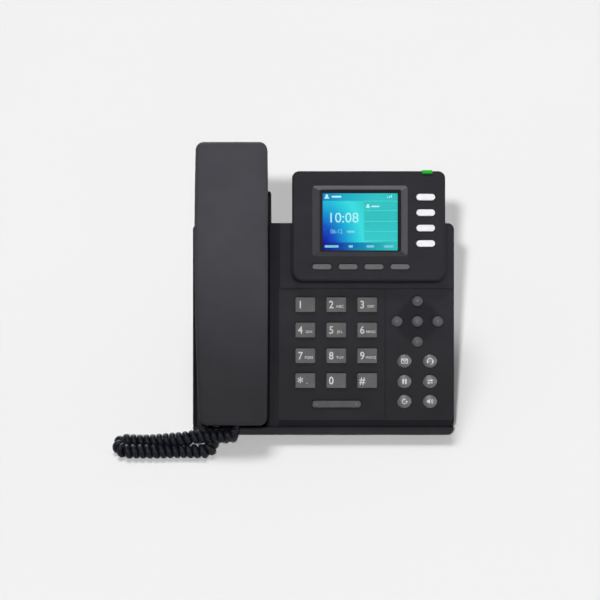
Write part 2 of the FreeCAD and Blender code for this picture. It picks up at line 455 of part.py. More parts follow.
def hs_profile(top_drop, lift, u0=-110.0, u1=-30.0):
    """Side shape of the handset between its inner outline and its arched back."""
    a, m, b = V(u0, HS_V[0] - 2, 40.0), V(u0, 112.0, 40.0), V(u0, HS_V[1] + 2, 40.0)
    low = [(HS_V[1] + 2, -2.0 + lift), (HS_V[1] - 3.5, -8.6 + lift), (166.0, -8.6 + lift), (156.0, 4.0 + lift), (148.0, 7.5 + lift), (76.0, 7.5 + lift), (67.0, 4.0 + lift), (57.0, -8.6 + lift), (HS_V[0] + 3.4, -8.6 + lift), (HS_V[0] - 2, -2.0 + lift)]
    pts = [b] + [V(u0, v, w) for v, w in low] + [a]
    edges = [Part.LineSegment(a, b).toShape()] + [Part.LineSegment(p, q).toShape() for p, q in zip(pts, pts[1:])]
    return Part.Face(Part.Wire(Part.__sortEdges__(edges))).extrude(V(u1 - u0, 0, 0)).common(hs_crown(top_drop))


def arc_w(v, drop=0.0):
    """Height of the back of the handset along its middle."""
    (x1, y1), (x2, y2), (x3, y3) = HS_ARC
    d = 2 * (x1 * (y2 - y3) + x2 * (y3 - y1) + x3 * (y1 - y2))
    cx = ((x1 ** 2 + y1 ** 2) * (y2 - y3) + (x2 ** 2 + y2 ** 2) * (y3 - y1) + (x3 ** 2 + y3 ** 2) * (y1 - y2)) / d
    cy = ((x1 ** 2 + y1 ** 2) * (x3 - x2) + (x2 ** 2 + y2 ** 2) * (x1 - x3) + (x3 ** 2 + y3 ** 2) * (x2 - x1)) / d
    return cy + math.sqrt((x1 - cx) ** 2 + (y1 - cy) ** 2 - (v - cx) ** 2) - drop


def on_back(p):
    axis_w = HS_ARC[1][1] - HS_CROWN_R
    return HS_V[0] - 1 <= p.y <= HS_V[1] + 1 and abs(math.hypot(p.x - HS_C, p.z - axis_w) - (arc_w(p.y) - axis_w)) < 0.02


hs_body = hs_plan(0.0, -12.0, 32.0).common(hs_profile(0.0, 0.0))
hs_body = one(hs_body)
rim = [e for e in hs_body.Edges if all(on_back(e.valueAt(e.FirstParameter + (e.LastParameter - e.FirstParameter) * t)) for t in (0.0, 0.3, 0.7, 1.0))]
for r in (3.6, 3.0, 2.0):
    try:
        s = hs_body.makeFillet(r, rim)
        if s.isValid():
            hs_body = one(s)
            print("handset rim radius", r)
            break
    except Exception as err:
        print("rim", r, err)
hs_room = one(hs_plan(WALL, -12.0, 32.0).common(hs_profile(WALL + 0.4, WALL)))
HS_PART = 9.9
above = rbox(-120, -20, 0, 230, HS_PART, 40)
below = rbox(-120, -20, 0, 230, -20, HS_PART)
hs_shell = hs_body.cut(hs_room)
outer = one(hs_shell.common(above))
inner = one(hs_shell.common(below))

EAR = (HS_C, 190.5)
MIC = (HS_C - 4.0, 33.0)
HS_PORT_U, HS_PORT_W = -65.4, 4.0
PLUG_V = 8.3
for du, dv in ((0, 0), (5, 0), (-5, 0), (2.5, 4.3), (-2.5, 4.3), (2.5, -4.3), (-2.5, -4.3)):
    inner = inner.cut(cyl(EAR[0] + du, EAR[1] + dv, -10, -4, 1.0))
for du in (-3.0, 0.0, 3.0):
    inner = inner.cut(cyl(MIC[0] + du, MIC[1], -10, -4, 0.8))
# pocket for the cradle tab and the window of the cord socket
boss = rbox(-76.5, -62.1, 173.4, 183.0, -7.2, -4.6, 1.0)
inner = inner.fuse(boss).cut(rbox(-74.3, -64.3, 175.2, 181.8, -9.6, -6.4, 0.8))
inner = inner.cut(rbox(HS_PORT_U - 4.6, HS_PORT_U + 4.6, 6.0, 13.0, HS_PORT_W - 3.6, HS_PORT_W + 3.6))
# lip that locates the back shell
lip = hs_plan(WALL - 0.2, HS_PART - 3.0, HS_PART).cut(hs_plan(WALL + 1.3, HS_PART - 3.5, HS_PART + 2.5)).common(hs_profile(WALL + 0.6, WALL - 0.2))
lip = lip.fuse(hs_plan(WALL + 0.12, HS_PART - 0.5, HS_PART + 1.6).cut(hs_plan(WALL + 1.3, HS_PART - 3.5, HS_PART + 2.5)).common(hs_profile(WALL + 0.8, WALL - 0.2)))
lip = lip.cut(rbox(HS_PORT_U - 6.6, HS_PORT_U + 6.6, 6.0, 30.0, 0.0, 12.0))
inner = one(inner.fuse(lip))
nodes["handset_outer_shell"] = outer
nodes["handset_inner_shell"] = inner
ear_w = -8.6 + WALL
nodes["handset_receiver"] = one(cyl(EAR[0], EAR[1] + 8.0 * 0, ear_w + 2.1, ear_w + 7.5, 14.0).fuse(cyl(EAR[0], EAR[1], ear_w, ear_w + 2.2, 7.2)))
nodes["handset_microphone"] = cyl(MIC[0], MIC[1], ear_w, ear_w + 4.5, 4.8)
sock = rbox(HS_PORT_U - 6.0, HS_PORT_U + 6.0, HS_V[0] + WALL, 25.0, HS_PORT_W - 5.0, HS_PORT_W + 5.0)
sock = sock.cut(rbox(HS_PORT_U - 4.1, HS_PORT_U + 4.1, 6.0, 22.5, HS_PORT_W - 3.3, HS_PORT_W + 3.3))
nodes["handset_port"] = sock
nodes["cord_plug_handset"] = rbox(HS_PORT_U - 3.8, HS_PORT_U + 3.8, PLUG_V, 21.5, HS_PORT_W - 3.0, HS_PORT_W + 3.0)
nodes["handset_ballast"] = rbox(HS_C - 11.0, HS_C + 11.0, 84.0, 138.0, 7.5 + WALL, 15.0, 2.0)

# ---------------------------------------------------------------- curly cord
REST_Z = CORD_R + 0.2


def desk(u, y, z=REST_Z):
    """A point given over the desk, before the final shift."""
    v, w = vw(y, z)
    return V(u, v, w)


ROUTE = [
    V(HS_PORT_U, PLUG_V, HS_PORT_W),
    V(HS_PORT_U, 1.2, 4.0),
    V(-74.0, -0.6, 3.2),
    V(-82.0, -0.2, 2.4),
    V(-92.0, -0.6, 1.4),
    V(-104.0, -2.1, -1.0),
    desk(-117.0, 1.6, 7.9),
    desk(-129.0, 2.5),
    desk(-140.0, 3.1),
    desk(-153.4, 3.6),
    desk(-153.4, -8.9),
    desk(-140.0, -8.7),
    desk(-126.0, -9.0),
    desk(-112.0, -8.9),
    desk(-99.0, -9.3),
    desk(-86.2, -9.1),
    desk(-85.4, 4.0, 5.5),
    V(PORT_U, 3.1, PORT_W),
    V(PORT_U, PLUG_BASE_V, PORT_W),
]
COIL_FROM, COIL_TO = 2, 15


def cord_path(points):
    """Straight runs joined by tangent arcs, each with the run it belongs to."""
    out, radii, here = [], [], points[0]
    for i in range(1, len(points) - 1):
        a, p, b = points[i - 1], points[i], points[i + 1]
        d0, d1 = (p - a), (b - p)
        l0, l1 = d0.Length, d1.Length
        d0.normalize()
        d1.normalize()
        turn = d0.getAngle(d1)
        t = 0.45 * min(l0, l1)
        if turn < math.radians(0.4):
            continue
        start, end = p - d0 * t, p + d1 * t
        half = d1 - d0
        half.normalize()
        rad = t / math.tan(turn / 2)
        centre = p + half * (rad / math.cos(turn / 2))
        mid = centre - half * rad
        out.append(("run", i - 1, here, start))
        out.append(("arc", i, start, mid, end))
        radii.append((i, round(rad, 2), round(math.degrees(turn), 1)))
        here = end
    out.append(("run", len(points) - 2, here, points[-1]))
    return out, radii


pieces, radii = cord_path(ROUTE)
print("cord bends (point, radius mm, turn deg):", radii)
lead_a, coil, lead_b = [], [], []
for p in pieces:
    if p[0] == "run":
        # the coil starts and ends in the middle of a run
        if p[1] in (COIL_FROM - 1, COIL_TO):
            mid = (p[2] + p[3]) * 0.5
            parts = [(p[1] - 0.1, p[2], mid), (p[1] + 0.1, mid, p[3])]
        else:
            parts = [(p[1], p[2], p[3])]
        for k, a, b in parts:
            (lead_a if k < COIL_FROM - 1 else lead_b if k > COIL_TO else coil).append(Part.LineSegment(a, b).toShape())
    else:
        (lead_a if p[1] < COIL_FROM else lead_b if p[1] > COIL_TO else coil).append(Part.Arc(p[2], p[3], p[4]).toShape())


def tube(edges, r):
    wire = Part.Wire(edges)
    e = edges[0]
    ring = Part.Wire(Part.Circle(e.valueAt(e.FirstParameter), e.tangentAt(e.FirstParameter), r).toShape())
    s = wire.makePipeShell([ring], True, True)
    print("tube", round(s.Volume, 1), "expected", round(math.pi * r * r * wire.Length, 1), "length", round(wire.Length, 1), s.isValid())
    return s


cord = tube(lead_a, LEAD_R).fuse(tube(coil, CORD_R)).fuse(tube(lead_b, LEAD_R))
nodes["handset_cord"] = one(cord)

# ---------------------------------------------------------------- place and write
PLACE = FreeCAD.Placement(V(0, Y0, Z0), FreeCAD.Rotation(V(1, 0, 0), TILT))
os.makedirs("parts", exist_ok=True)
whole = None
for name, shape in nodes.items():
    solids = [s.copy() for s in shape.Solids]
    for s in solids:
        s.Placement = PLACE.multiply(s.Placement)
    placed = solids[0] if len(solids) == 1 else Part.makeCompound(solids)
    placed.exportStep("parts/%s.step" % name)
    if "cord" not in name:
        box = placed.optimalBoundingBox(False) if hasattr(placed, "optimalBoundingBox") else placed.BoundBox
        whole = box if whole is None else whole.united(box)
print("nodes", len(nodes), "box without cord", [round(c, 2) for c in (whole.XMin, whole.XMax, whole.YMin, whole.YMax, whole.ZMin, whole.ZMax)])
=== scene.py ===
import bpy, bmesh, json, math
from mathutils import Matrix, Vector
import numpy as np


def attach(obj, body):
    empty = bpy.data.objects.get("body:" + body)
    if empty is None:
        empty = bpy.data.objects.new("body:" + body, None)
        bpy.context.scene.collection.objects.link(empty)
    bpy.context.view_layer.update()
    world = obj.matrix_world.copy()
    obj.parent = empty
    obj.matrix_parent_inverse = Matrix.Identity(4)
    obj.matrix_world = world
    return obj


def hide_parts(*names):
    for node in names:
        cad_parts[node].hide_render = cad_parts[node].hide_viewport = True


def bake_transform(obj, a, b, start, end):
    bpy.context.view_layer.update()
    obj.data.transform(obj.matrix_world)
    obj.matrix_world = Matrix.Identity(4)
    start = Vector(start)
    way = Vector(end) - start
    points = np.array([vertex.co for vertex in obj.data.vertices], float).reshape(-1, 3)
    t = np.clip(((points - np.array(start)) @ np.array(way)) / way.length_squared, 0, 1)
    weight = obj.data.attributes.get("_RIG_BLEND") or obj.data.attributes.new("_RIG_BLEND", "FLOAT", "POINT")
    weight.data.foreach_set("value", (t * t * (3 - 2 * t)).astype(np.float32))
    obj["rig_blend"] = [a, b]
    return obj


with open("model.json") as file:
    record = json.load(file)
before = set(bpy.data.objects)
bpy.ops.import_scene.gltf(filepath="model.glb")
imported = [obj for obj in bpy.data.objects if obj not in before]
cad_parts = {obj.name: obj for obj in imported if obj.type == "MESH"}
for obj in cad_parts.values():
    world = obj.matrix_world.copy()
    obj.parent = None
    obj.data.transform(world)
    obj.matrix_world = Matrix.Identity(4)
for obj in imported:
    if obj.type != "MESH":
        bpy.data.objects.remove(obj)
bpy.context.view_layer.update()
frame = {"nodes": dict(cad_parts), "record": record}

# ------------------------------------------------------------------ frame of the face
# u = right across the face, v = up along it, w = out of it, in millimetres.
K = math.sqrt(0.5)
Y0, Z0 = -76.99, 2.0 + 17.0 * K
FACE = Matrix.Translation((0, Y0 / 1000, Z0 / 1000)) @ Matrix.Rotation(math.radians(45), 4, "X") @ Matrix.Scale(0.001, 4)


def face(u, v, w):
    return FACE @ Vector((u, v, w))


def srgb(r, g, b):
    """Colour as seen (0-255) to the linear values that shaders use."""
    return tuple((c / 255 / 12.92) if c <= 10 else ((c / 255 + 0.055) / 1.055) ** 2.4 for c in (r, g, b))


# ------------------------------------------------------------------ camera
AIM = face(-17.44, 101.25, 0.0)
DIST = 2.0
cam_data = bpy.data.cameras.new("camera")
cam_data.sensor_width = 36.0
cam_data.lens = 36.0 * DIST / 0.45
cam_data.clip_start, cam_data.clip_end = 0.05, 20.0
cam = bpy.data.objects.new("camera", cam_data)
cam.location = AIM + Vector((0, -K, K)) * DIST
cam.rotation_euler = (math.radians(45), 0, 0)
bpy.context.collection.objects.link(cam)
bpy.context.scene.camera = cam


# ------------------------------------------------------------------ helpers for pieces
def piece(name, mesh, body, materials, smooth=None, replaces=()):
    ob = bpy.data.objects.new(name, mesh)
    bpy.context.collection.objects.link(ob)
    for m in materials if isinstance(materials, (list, tuple)) else [materials]:
        mesh.materials.append(m)
    if smooth is not None:
        mesh.shade_smooth()
        mesh.set_sharp_from_angle(angle=math.radians(smooth))
    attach(ob, body)
    if replaces:
        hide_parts(*replaces)
    return ob


class Shape:
    """Collects polygons in face coordinates and turns them into one mesh."""

    def __init__(self):
        self.verts, self.faces, self.mats = [], [], []

    def add(self, pts, faces, mat=0):
        n = len(self.verts)
        self.verts += [tuple(p) for p in pts]
        self.faces += [tuple(i + n for i in f) for f in faces]
        self.mats += [mat] * len(faces)

    def prism(self, ring, w0, w1, mat=0):
        """Closed prism over a simple outline that runs anticlockwise."""
        n = len(ring)
        pts = [(u, v, w0) for u, v in ring] + [(u, v, w1) for u, v in ring]
        faces = [tuple(range(n - 1, -1, -1)), tuple(range(n, 2 * n))]
        faces += [(i, (i + 1) % n, n + (i + 1) % n, n + i) for i in range(n)]
        self.add(pts, faces, mat)

    def ribbon(self, line, width, w0, w1, closed=False, mat=0):
        """Flat stroke of even width along a line, with square ends."""
        pts = [Vector(p) for p in line]
        n = len(pts)
        left, right = [], []
        for i, p in enumerate(pts):
            a = pts[i - 1] if i > 0 or closed else p
            b = pts[(i + 1) % n] if i < n - 1 or closed else p
            d0 = (p - a).normalized() if (p - a).length > 1e-9 else (b - p).normalized()
            d1 = (b - p).normalized() if (b - p).length > 1e-9 else d0
            t = (d0 + d1).normalized()
            nrm = Vector((-t.y, t.x))
            k = width / 2 / max(0.4, nrm.dot(Vector((-d0.y, d0.x))))
            left.append(p + nrm * k)
            right.append(p - nrm * k)
        corners = [(q.x, q.y, w) for w in (w0, w1) for side in (right, left) for q in side]
        faces = []
        for i in range(n if closed else n - 1):
            j = (i + 1) % n
            faces += [(2 * n + i, 2 * n + j, 3 * n + j, 3 * n + i), (n + i, n + j, j, i), (i, j, 2 * n + j, 2 * n + i), (n + j, n + i, 3 * n + i, 3 * n + j)]
        if not closed:
            faces += [(n, 0, 2 * n, 3 * n), (n - 1, 2 * n - 1, 4 * n - 1, 3 * n - 1)]
        self.add(corners, faces, mat)

    def mesh(self, name):
        me = bpy.data.meshes.new(name)
        me.from_pydata([FACE @ Vector(p) for p in self.verts], [], self.faces)
        me.polygons.foreach_set("material_index", self.mats)
        me.update()
        return me


def round_rect(u0, u1, v0, v1, r, n=6):
    ring = []
    for cu, cv, a0 in ((u1 - r, v0 + r, -90), (u1 - r, v1 - r, 0), (u0 + r, v1 - r, 90), (u0 + r, v0 + r, 180)):
        for i in range(n + 1):
            a = math.radians(a0 + 90 * i / n)
            ring.append((cu + r * math.cos(a), cv + r * math.sin(a)))
    return ring


def circle(u, v, r, n=32, a0=0.0, a1=360.0):
    m = n if abs(a1 - a0) >= 360 else n + 1
    return [(u + r * math.cos(math.radians(a0 + (a1 - a0) * i / n)), v + r * math.sin(math.radians(a0 + (a1 - a0) * i / n))) for i in range(m)]


def text_mesh(name, parts, depth=0.06):
    """Raised lettering as a mesh; parts are (string, u, v, w, size, align, stretch, weight)."""
    bm = bmesh.new()
    for string, u, v, w, size, align, stretch, weight in parts:
        cu = bpy.data.curves.new(name + "_t", "FONT")
        cu.body = string
        cu.size = size
        cu.align_x = align
        cu.align_y = "CENTER"
        cu.extrude = depth / 2
        cu.offset = weight
        cu.resolution_u = 4
        ob = bpy.data.objects.new(name + "_t", cu)
        me = bpy.data.meshes.new_from_object(ob)
        me.transform(FACE @ Matrix.Translation((u, v, w + depth / 2)) @ Matrix.Diagonal((stretch, 1, 1, 1)))
        bm.from_mesh(me)
        bpy.data.objects.remove(ob)
        bpy.data.curves.remove(cu)
        bpy.data.meshes.remove(me)
    bmesh.ops.remove_doubles(bm, verts=bm.verts, dist=1e-7)
    out = bpy.data.meshes.new(name)
    bm.to_mesh(out)
    bm.free()
    return out


# ------------------------------------------------------------------ materials
def new_mat(name):
    m = bpy.data.materials.new(name)
    m.use_nodes = True
    return m, m.node_tree, m.node_tree.nodes["Principled BSDF"]


def node(nt, kind, **values):
    n = nt.nodes.new(kind)
    for k, v in values.items():
        if k in n.inputs:
            n.inputs[k].default_value = v
        else:
            setattr(n, k, v)
    return n


def ramp(nt, fac, stops):
    r = nt.nodes.new("ShaderNodeValToRGB")
    nt.links.new(fac, r.inputs["Fac"])
    e = r.color_ramp.elements
    while len(e) < len(stops):
        e.new(0.5)
    for el, (pos, col) in zip(e, stops):
        el.position = pos
        el.color = (*col, 1.0)
    return r.outputs["Color"]


def face_position(nt):
    """Where a shaded point lies on the face, in millimetres: sockets for u, v and w."""
    co = node(nt, "ShaderNodeTexCoord").outputs["Object"]
    mp = node(nt, "ShaderNodeMapping")
    mp.inputs["Scale"].default_value = (1000, 1000, 1000)
    mp.inputs["Rotation"].default_value = (math.radians(-45), 0, 0)
    mp.inputs["Location"].default_value = (0, -K * (Y0 + Z0), K * (Y0 - Z0))
    nt.links.new(co, mp.inputs["Vector"])
    sep = node(nt, "ShaderNodeSeparateXYZ")
    nt.links.new(mp.outputs["Vector"], sep.inputs["Vector"])
    return sep.outputs


def blend_colour(nt, fac, a, b):
    mix = node(nt, "ShaderNodeMix", data_type="RGBA")
    nt.links.new(fac, mix.inputs[0])
    nt.links.new(a, mix.inputs[6])
    nt.links.new(b, mix.inputs[7])
    return mix.outputs[2]


def moulded(name, dark, light, rough=(0.45, 0.6), spec=0.25, grain=1500.0, depth=0.00004, strength=0.35, edge=0.0004, painted_edge_highlight=None, patch=38.0, coat=0.0, overlay=None):
    """Moulded plastic: fine spark-eroded grain, faint flow mottling, softened edges, and where an edge colour is given,
    a painted highlight along the edges.
    """
    m, nt, b = new_mat(name)
    co = node(nt, "ShaderNodeTexCoord").outputs["Object"]
    mottle = node(nt, "ShaderNodeTexNoise", Scale=patch, Detail=4.0, Roughness=0.55)
    nt.links.new(co, mottle.inputs["Vector"])
    speck = node(nt, "ShaderNodeTexNoise", Scale=grain, Detail=2.0, Roughness=0.6)
    nt.links.new(co, speck.inputs["Vector"])
    colour = ramp(nt, mottle.outputs["Fac"], [(0.32, dark), (0.68, light)])
    bev = node(nt, "ShaderNodeBevel", Radius=edge, samples=4)
    # painted highlight: a paler colour along the edges, where light would catch them
    if painted_edge_highlight:
        geo = node(nt, "ShaderNodeNewGeometry")
        dot = node(nt, "ShaderNodeVectorMath", operation="DOT_PRODUCT")
        nt.links.new(bev.outputs["Normal"], dot.inputs[0])
        nt.links.new(geo.outputs["Normal"], dot.inputs[1])
        rim = node(nt, "ShaderNodeMapRange")
        rim.inputs["From Min"].default_value = 0.995
        rim.inputs["From Max"].default_value = 0.8
        nt.links.new(dot.outputs["Value"], rim.inputs["Value"])
        mix = node(nt, "ShaderNodeMix", data_type="RGBA")
        nt.links.new(rim.outputs["Result"], mix.inputs[0])
        nt.links.new(colour, mix.inputs[6])
        edge_highlight_colour = ramp(nt, speck.outputs["Fac"], [(0.35, light), (0.65, painted_edge_highlight)])
        nt.links.new(edge_highlight_colour, mix.inputs[7])
        colour = mix.outputs[2]
    if overlay:
        colour = overlay(nt, colour, mottle.outputs["Fac"])
    nt.links.new(colour, b.inputs["Base Color"])
    rr = node(nt, "ShaderNodeMapRange")
    rr.inputs["To Min"].default_value, rr.inputs["To Max"].default_value = rough
    wide = node(nt, "ShaderNodeTexNoise", Scale=160.0, Detail=3.0)
    nt.links.new(co, wide.inputs["Vector"])
    nt.links.new(wide.outputs["Fac"], rr.inputs["Value"])
    nt.links.new(rr.outputs["Result"], b.inputs["Roughness"])
    bump = node(nt, "ShaderNodeBump", Strength=strength, Distance=depth)
    nt.links.new(speck.outputs["Fac"], bump.inputs["Height"])
    nt.links.new(bev.outputs["Normal"], bump.inputs["Normal"])
    nt.links.new(bump.outputs["Normal"], b.inputs["Normal"])
    b.inputs["Specular IOR Level"].default_value = spec
    if coat:
        b.inputs["Coat Weight"].default_value = coat
        b.inputs["Coat Roughness"].default_value = 0.25
    return m


def metal(name, dark, light, rough=(0.25, 0.45)):
    m, nt, b = new_mat(name)
    co = node(nt, "ShaderNodeTexCoord").outputs["Object"]
    n = node(nt, "ShaderNodeTexNoise", Scale=420.0, Detail=5.0, Roughness=0.7)
    nt.links.new(co, n.inputs["Vector"])
    nt.links.new(ramp(nt, n.outputs["Fac"], [(0.3, dark), (0.7, light)]), b.inputs["Base Color"])
    rr = node(nt, "ShaderNodeMapRange")
    rr.inputs["To Min"].default_value, rr.inputs["To Max"].default_value = rough
    nt.links.new(n.outputs["Fac"], rr.inputs["Value"])
    nt.links.new(rr.outputs["Result"], b.inputs["Roughness"])
    b.inputs["Metallic"].default_value = 1.0
    return m


def clear(name, tint, rough, ior=1.49):
    m, nt, b = new_mat(name)
    co = node(nt, "ShaderNodeTexCoord").outputs["Object"]
    n = node(nt, "ShaderNodeTexNoise", Scale=90.0, Detail=3.0)
    nt.links.new(co, n.inputs["Vector"])
    rr = node(nt, "ShaderNodeMapRange")
    rr.inputs["To Min"].default_value, rr.inputs["To Max"].default_value = rough
    nt.links.new(n.outputs["Fac"], rr.inputs["Value"])
    nt.links.new(rr.outputs["Result"], b.inputs["Roughness"])
    b.inputs["Base Color"].default_value = (*tint, 1)
    b.inputs["Transmission Weight"].default_value = 1.0
    b.inputs["IOR"].default_value = ior
    b.inputs["Specular IOR Level"].default_value = 0.08
    return m


def lit(name, stops, strength, scale=60.0):
    """Evenly lit surface with slight unevenness."""
    m, nt, b = new_mat(name)
    co = node(nt, "ShaderNodeTexCoord").outputs["Object"]
    n = node(nt, "ShaderNodeTexNoise", Scale=scale, Detail=1.0)
    nt.links.new(co, n.inputs["Vector"])
    col = ramp(nt, n.outputs["Fac"], stops)
    nt.links.new(col, b.inputs["Emission Color"])
    b.inputs["Base Color"].default_value = (*[c * 0.15 for c in stops[0][1]], 1)
    b.inputs["Emission Strength"].default_value = strength
    b.inputs["Roughness"].default_value = 0.5
    b.inputs["Specular IOR Level"].default_value = 0.2
    return m


def band(nt, value, lo, hi):
    """0 where value is at lo, 1 where it is at hi, smooth between."""
    mr = node(nt, "ShaderNodeMapRange", interpolation_type="SMOOTHSTEP")
    mr.inputs["From Min"].default_value, mr.inputs["From Max"].default_value = lo, hi
    nt.links.new(value, mr.inputs["Value"])
    return mr.outputs["Result"]


def deck_painted_shade_and_dish(nt, colour, mottle):
    """Painted shade: the deck is darker toward its foot, darker still on the slope below it, which faces away from the
    light, and darker in the cradle, where the handset's shade falls. It is also darker in the dish round the navigation
    keys.
    """
    u, v, w = face_position(nt)
    # painted shade: darker toward the foot of the deck
    colour = blend_colour(nt, band(nt, v, 100.0, 25.0), colour, ramp(nt, mottle, [(0.32, srgb(32, 31, 34)), (0.68, srgb(36, 35, 38))]))
    # painted shade on the slope below the deck
    colour = blend_colour(nt, band(nt, v, 11.5, 11.0), colour, ramp(nt, mottle, [(0.32, srgb(24, 23, 27)), (0.68, srgb(28, 27, 31))]))
    # painted shade in the cradle beside the handset
    colour = blend_colour(nt, band(nt, u, -32.9, -33.6), colour, ramp(nt, mottle, [(0.32, srgb(33, 32, 36)), (0.68, srgb(37, 36, 40))]))
    du = node(nt, "ShaderNodeMath", operation="SUBTRACT")
    nt.links.new(u, du.inputs[0])
    du.inputs[1].default_value = 70.6
    dv = node(nt, "ShaderNodeMath", operation="SUBTRACT")
    nt.links.new(v, dv.inputs[0])
    dv.inputs[1].default_value = 85.2
    vec = node(nt, "ShaderNodeCombineXYZ")
    nt.links.new(du.outputs[0], vec.inputs["X"])
    nt.links.new(dv.outputs[0], vec.inputs["Y"])
    far = node(nt, "ShaderNodeVectorMath", operation="LENGTH")
    nt.links.new(vec.outputs["Vector"], far.inputs[0])
    return blend_colour(nt, band(nt, far.outputs["Value"], 17.6, 13.0), colour, ramp(nt, mottle, [(0.32, srgb(29, 28, 32)), (0.68, srgb(33, 32, 36))]))


def handset_painted_shade(nt, colour, mottle):
    """Painted shade: the handset darkens from the ear end toward the grip end, as light from above would make it."""
    u, v, w = face_position(nt)
    return blend_colour(nt, band(nt, v, 160.0, 10.0), colour, ramp(nt, mottle, [(0.30, srgb(39, 38, 41)), (0.70, srgb(43, 42, 45))]))


# the edge colour given to these plastics is a painted highlight along their edges
BODY = moulded("charcoal_plastic", srgb(37, 36, 40), srgb(41, 40, 44), rough=(0.5, 0.64), spec=0.05, painted_edge_highlight=srgb(50, 49, 54))
# the deck material carries painted shade at its foot, on the slope below it and in the cradle
DECK_PAINTED_SHADE = moulded("deck_plastic_painted_shade", srgb(37, 36, 40), srgb(41, 40, 44), rough=(0.5, 0.64), spec=0.05, painted_edge_highlight=srgb(50, 49, 54), overlay=deck_painted_shade_and_dish)
HEAD = moulded("head_plastic", srgb(36, 35, 39), srgb(40, 39, 43), rough=(0.48, 0.6), spec=0.05, painted_edge_highlight=srgb(52, 51, 56))
REAR = moulded("rear_plastic", srgb(33, 32, 36), srgb(39, 38, 42), rough=(0.5, 0.68), spec=0.06, grain=1100.0, depth=0.00006, painted_edge_highlight=srgb(52, 51, 56))
# handset colour with painted shade darkening toward the grip end
HANDSET_PAINTED_SHADE = moulded("handset_plastic", srgb(58, 57, 62), srgb(62, 61, 66), rough=(0.48, 0.6), spec=0.06, painted_edge_highlight=srgb(70, 69, 74), overlay=handset_painted_shade)


def across(nt, colour, mottle):
    """Painted light and shade: the surround is paler toward its right side and on its top slope, which faces down the
    face, and darker on its bottom slope, which faces up it.
    """
    u, v, w = face_position(nt)
    # painted light: paler toward the right side
    colour = blend_colour(nt, band(nt, u, 0.0, 58.0), colour, ramp(nt, mottle, [(0.32, srgb(72, 72, 75)), (0.68, srgb(78, 78, 81))]))
    rise = node(nt, "ShaderNodeVectorMath", operation="DOT_PRODUCT")
    rise.inputs[1].default_value = (0.0, K, K)
    nt.links.new(node(nt, "ShaderNodeNewGeometry").outputs["Normal"], rise.inputs[0])
    # painted light on slopes facing down the face, the top slope
    colour = blend_colour(nt, band(nt, rise.outputs["Value"], -0.08, -0.16), colour, ramp(nt, mottle, [(0.32, srgb(92, 93, 97)), (0.68, srgb(98, 99, 103))]))
    # painted shade on slopes facing up the face, the bottom slope
    return blend_colour(nt, band(nt, rise.outputs["Value"], 0.08, 0.16), colour, ramp(nt, mottle, [(0.32, srgb(46, 47, 50)), (0.68, srgb(51, 52, 55))]))


# the surround's colour carries painted light and shade, and its edge colour is a painted highlight
SURROUND_PAINTED_LIGHT = moulded("surround_satin_painted_light", srgb(53, 53, 57), srgb(58, 58, 62), rough=(0.45, 0.55), spec=0.06, grain=2200.0, depth=0.00002, edge=0.0005, painted_edge_highlight=srgb(98, 98, 102), overlay=across)
# painted shade: the dark colour of the steep inner wall round the screen stands in for the shade in that recess
INNER_WALL_PAINTED_SHADE = moulded("screen_wall_painted_shade", srgb(31, 31, 34), srgb(36, 36, 39), rough=(0.5, 0.6), spec=0.04, grain=2200.0, depth=0.00002)
# the grey keys' edge colour is a painted highlight along their edges
KEY = moulded("grey_key", srgb(79, 79, 79), srgb(87, 87, 87), rough=(0.5, 0.6), spec=0.08, grain=2000.0, depth=0.00002, edge=0.0003, painted_edge_highlight=srgb(118, 118, 118), patch=120.0)
SOFT = moulded("soft_key_plastic", srgb(86, 86, 87), srgb(94, 94, 95), rough=(0.5, 0.6), spec=0.08, grain=2000.0, depth=0.00002, edge=0.0003, patch=120.0)
DOME = moulded("domed_key", srgb(70, 70, 70), srgb(77, 77, 77), rough=(0.5, 0.56), spec=1.0, grain=2000.0, depth=0.00002, edge=0.0002, patch=120.0)
VOLUME = moulded("volume_key", srgb(69, 69, 70), srgb(76, 76, 77), rough=(0.5, 0.6), spec=0.1, grain=2000.0, depth=0.00002, edge=0.0003, patch=120.0)
NAV = moulded("nav_key", srgb(68, 68, 69), srgb(75, 75, 76), rough=(0.5, 0.56), spec=0.22, grain=2000.0, depth=0.00002, edge=0.0002, patch=120.0)
ICON = moulded("icon_print", srgb(184, 184, 184), srgb(204, 204, 204), rough=(0.5, 0.6), spec=0.1, grain=3000.0, depth=0.00001, edge=0.0001)
PALE = moulded("pale_key", srgb(206, 206, 208), srgb(218, 218, 220), rough=(0.4, 0.5), spec=0.1, grain=2000.0, depth=0.00001, edge=0.0003, patch=160.0)
PRINT = moulded("key_print", srgb(168, 168, 168), srgb(190, 190, 190), rough=(0.5, 0.6), spec=0.1, grain=3000.0, depth=0.00001, edge=0.0001)
BLACK = moulded("black_plastic", srgb(18, 18, 20), srgb(26, 26, 28), rough=(0.4, 0.55))
RUBBER = moulded("foot_rubber", srgb(20, 20, 21), srgb(29, 29, 30), rough=(0.75, 0.9), spec=0.15, grain=900.0, depth=0.00012, strength=0.6)
SILICONE = moulded("silicone", srgb(168, 168, 166), srgb(188, 188, 186), rough=(0.55, 0.7))
BOARD = moulded("circuit_board", srgb(14, 70, 38), srgb(24, 88, 50), rough=(0.3, 0.45), spec=0.45, grain=700.0)
CORD = moulded("cord_jacket", srgb(11, 13, 20), srgb(17, 19, 28), rough=(0.42, 0.52), spec=0.16, grain=1800.0, depth=0.00003, edge=0.0002, patch=90.0)
STEEL = metal("screw_steel", srgb(150, 150, 152), srgb(188, 188, 190))
BASKET = metal("speaker_steel", srgb(60, 60, 62), srgb(90, 90, 92), rough=(0.4, 0.6))
WINDOW = clear("clear_window", (0.97, 0.985, 1.0), (0.02, 0.06))
PLUG = clear("clear_plug", (0.9, 0.93, 0.95), (0.08, 0.18))
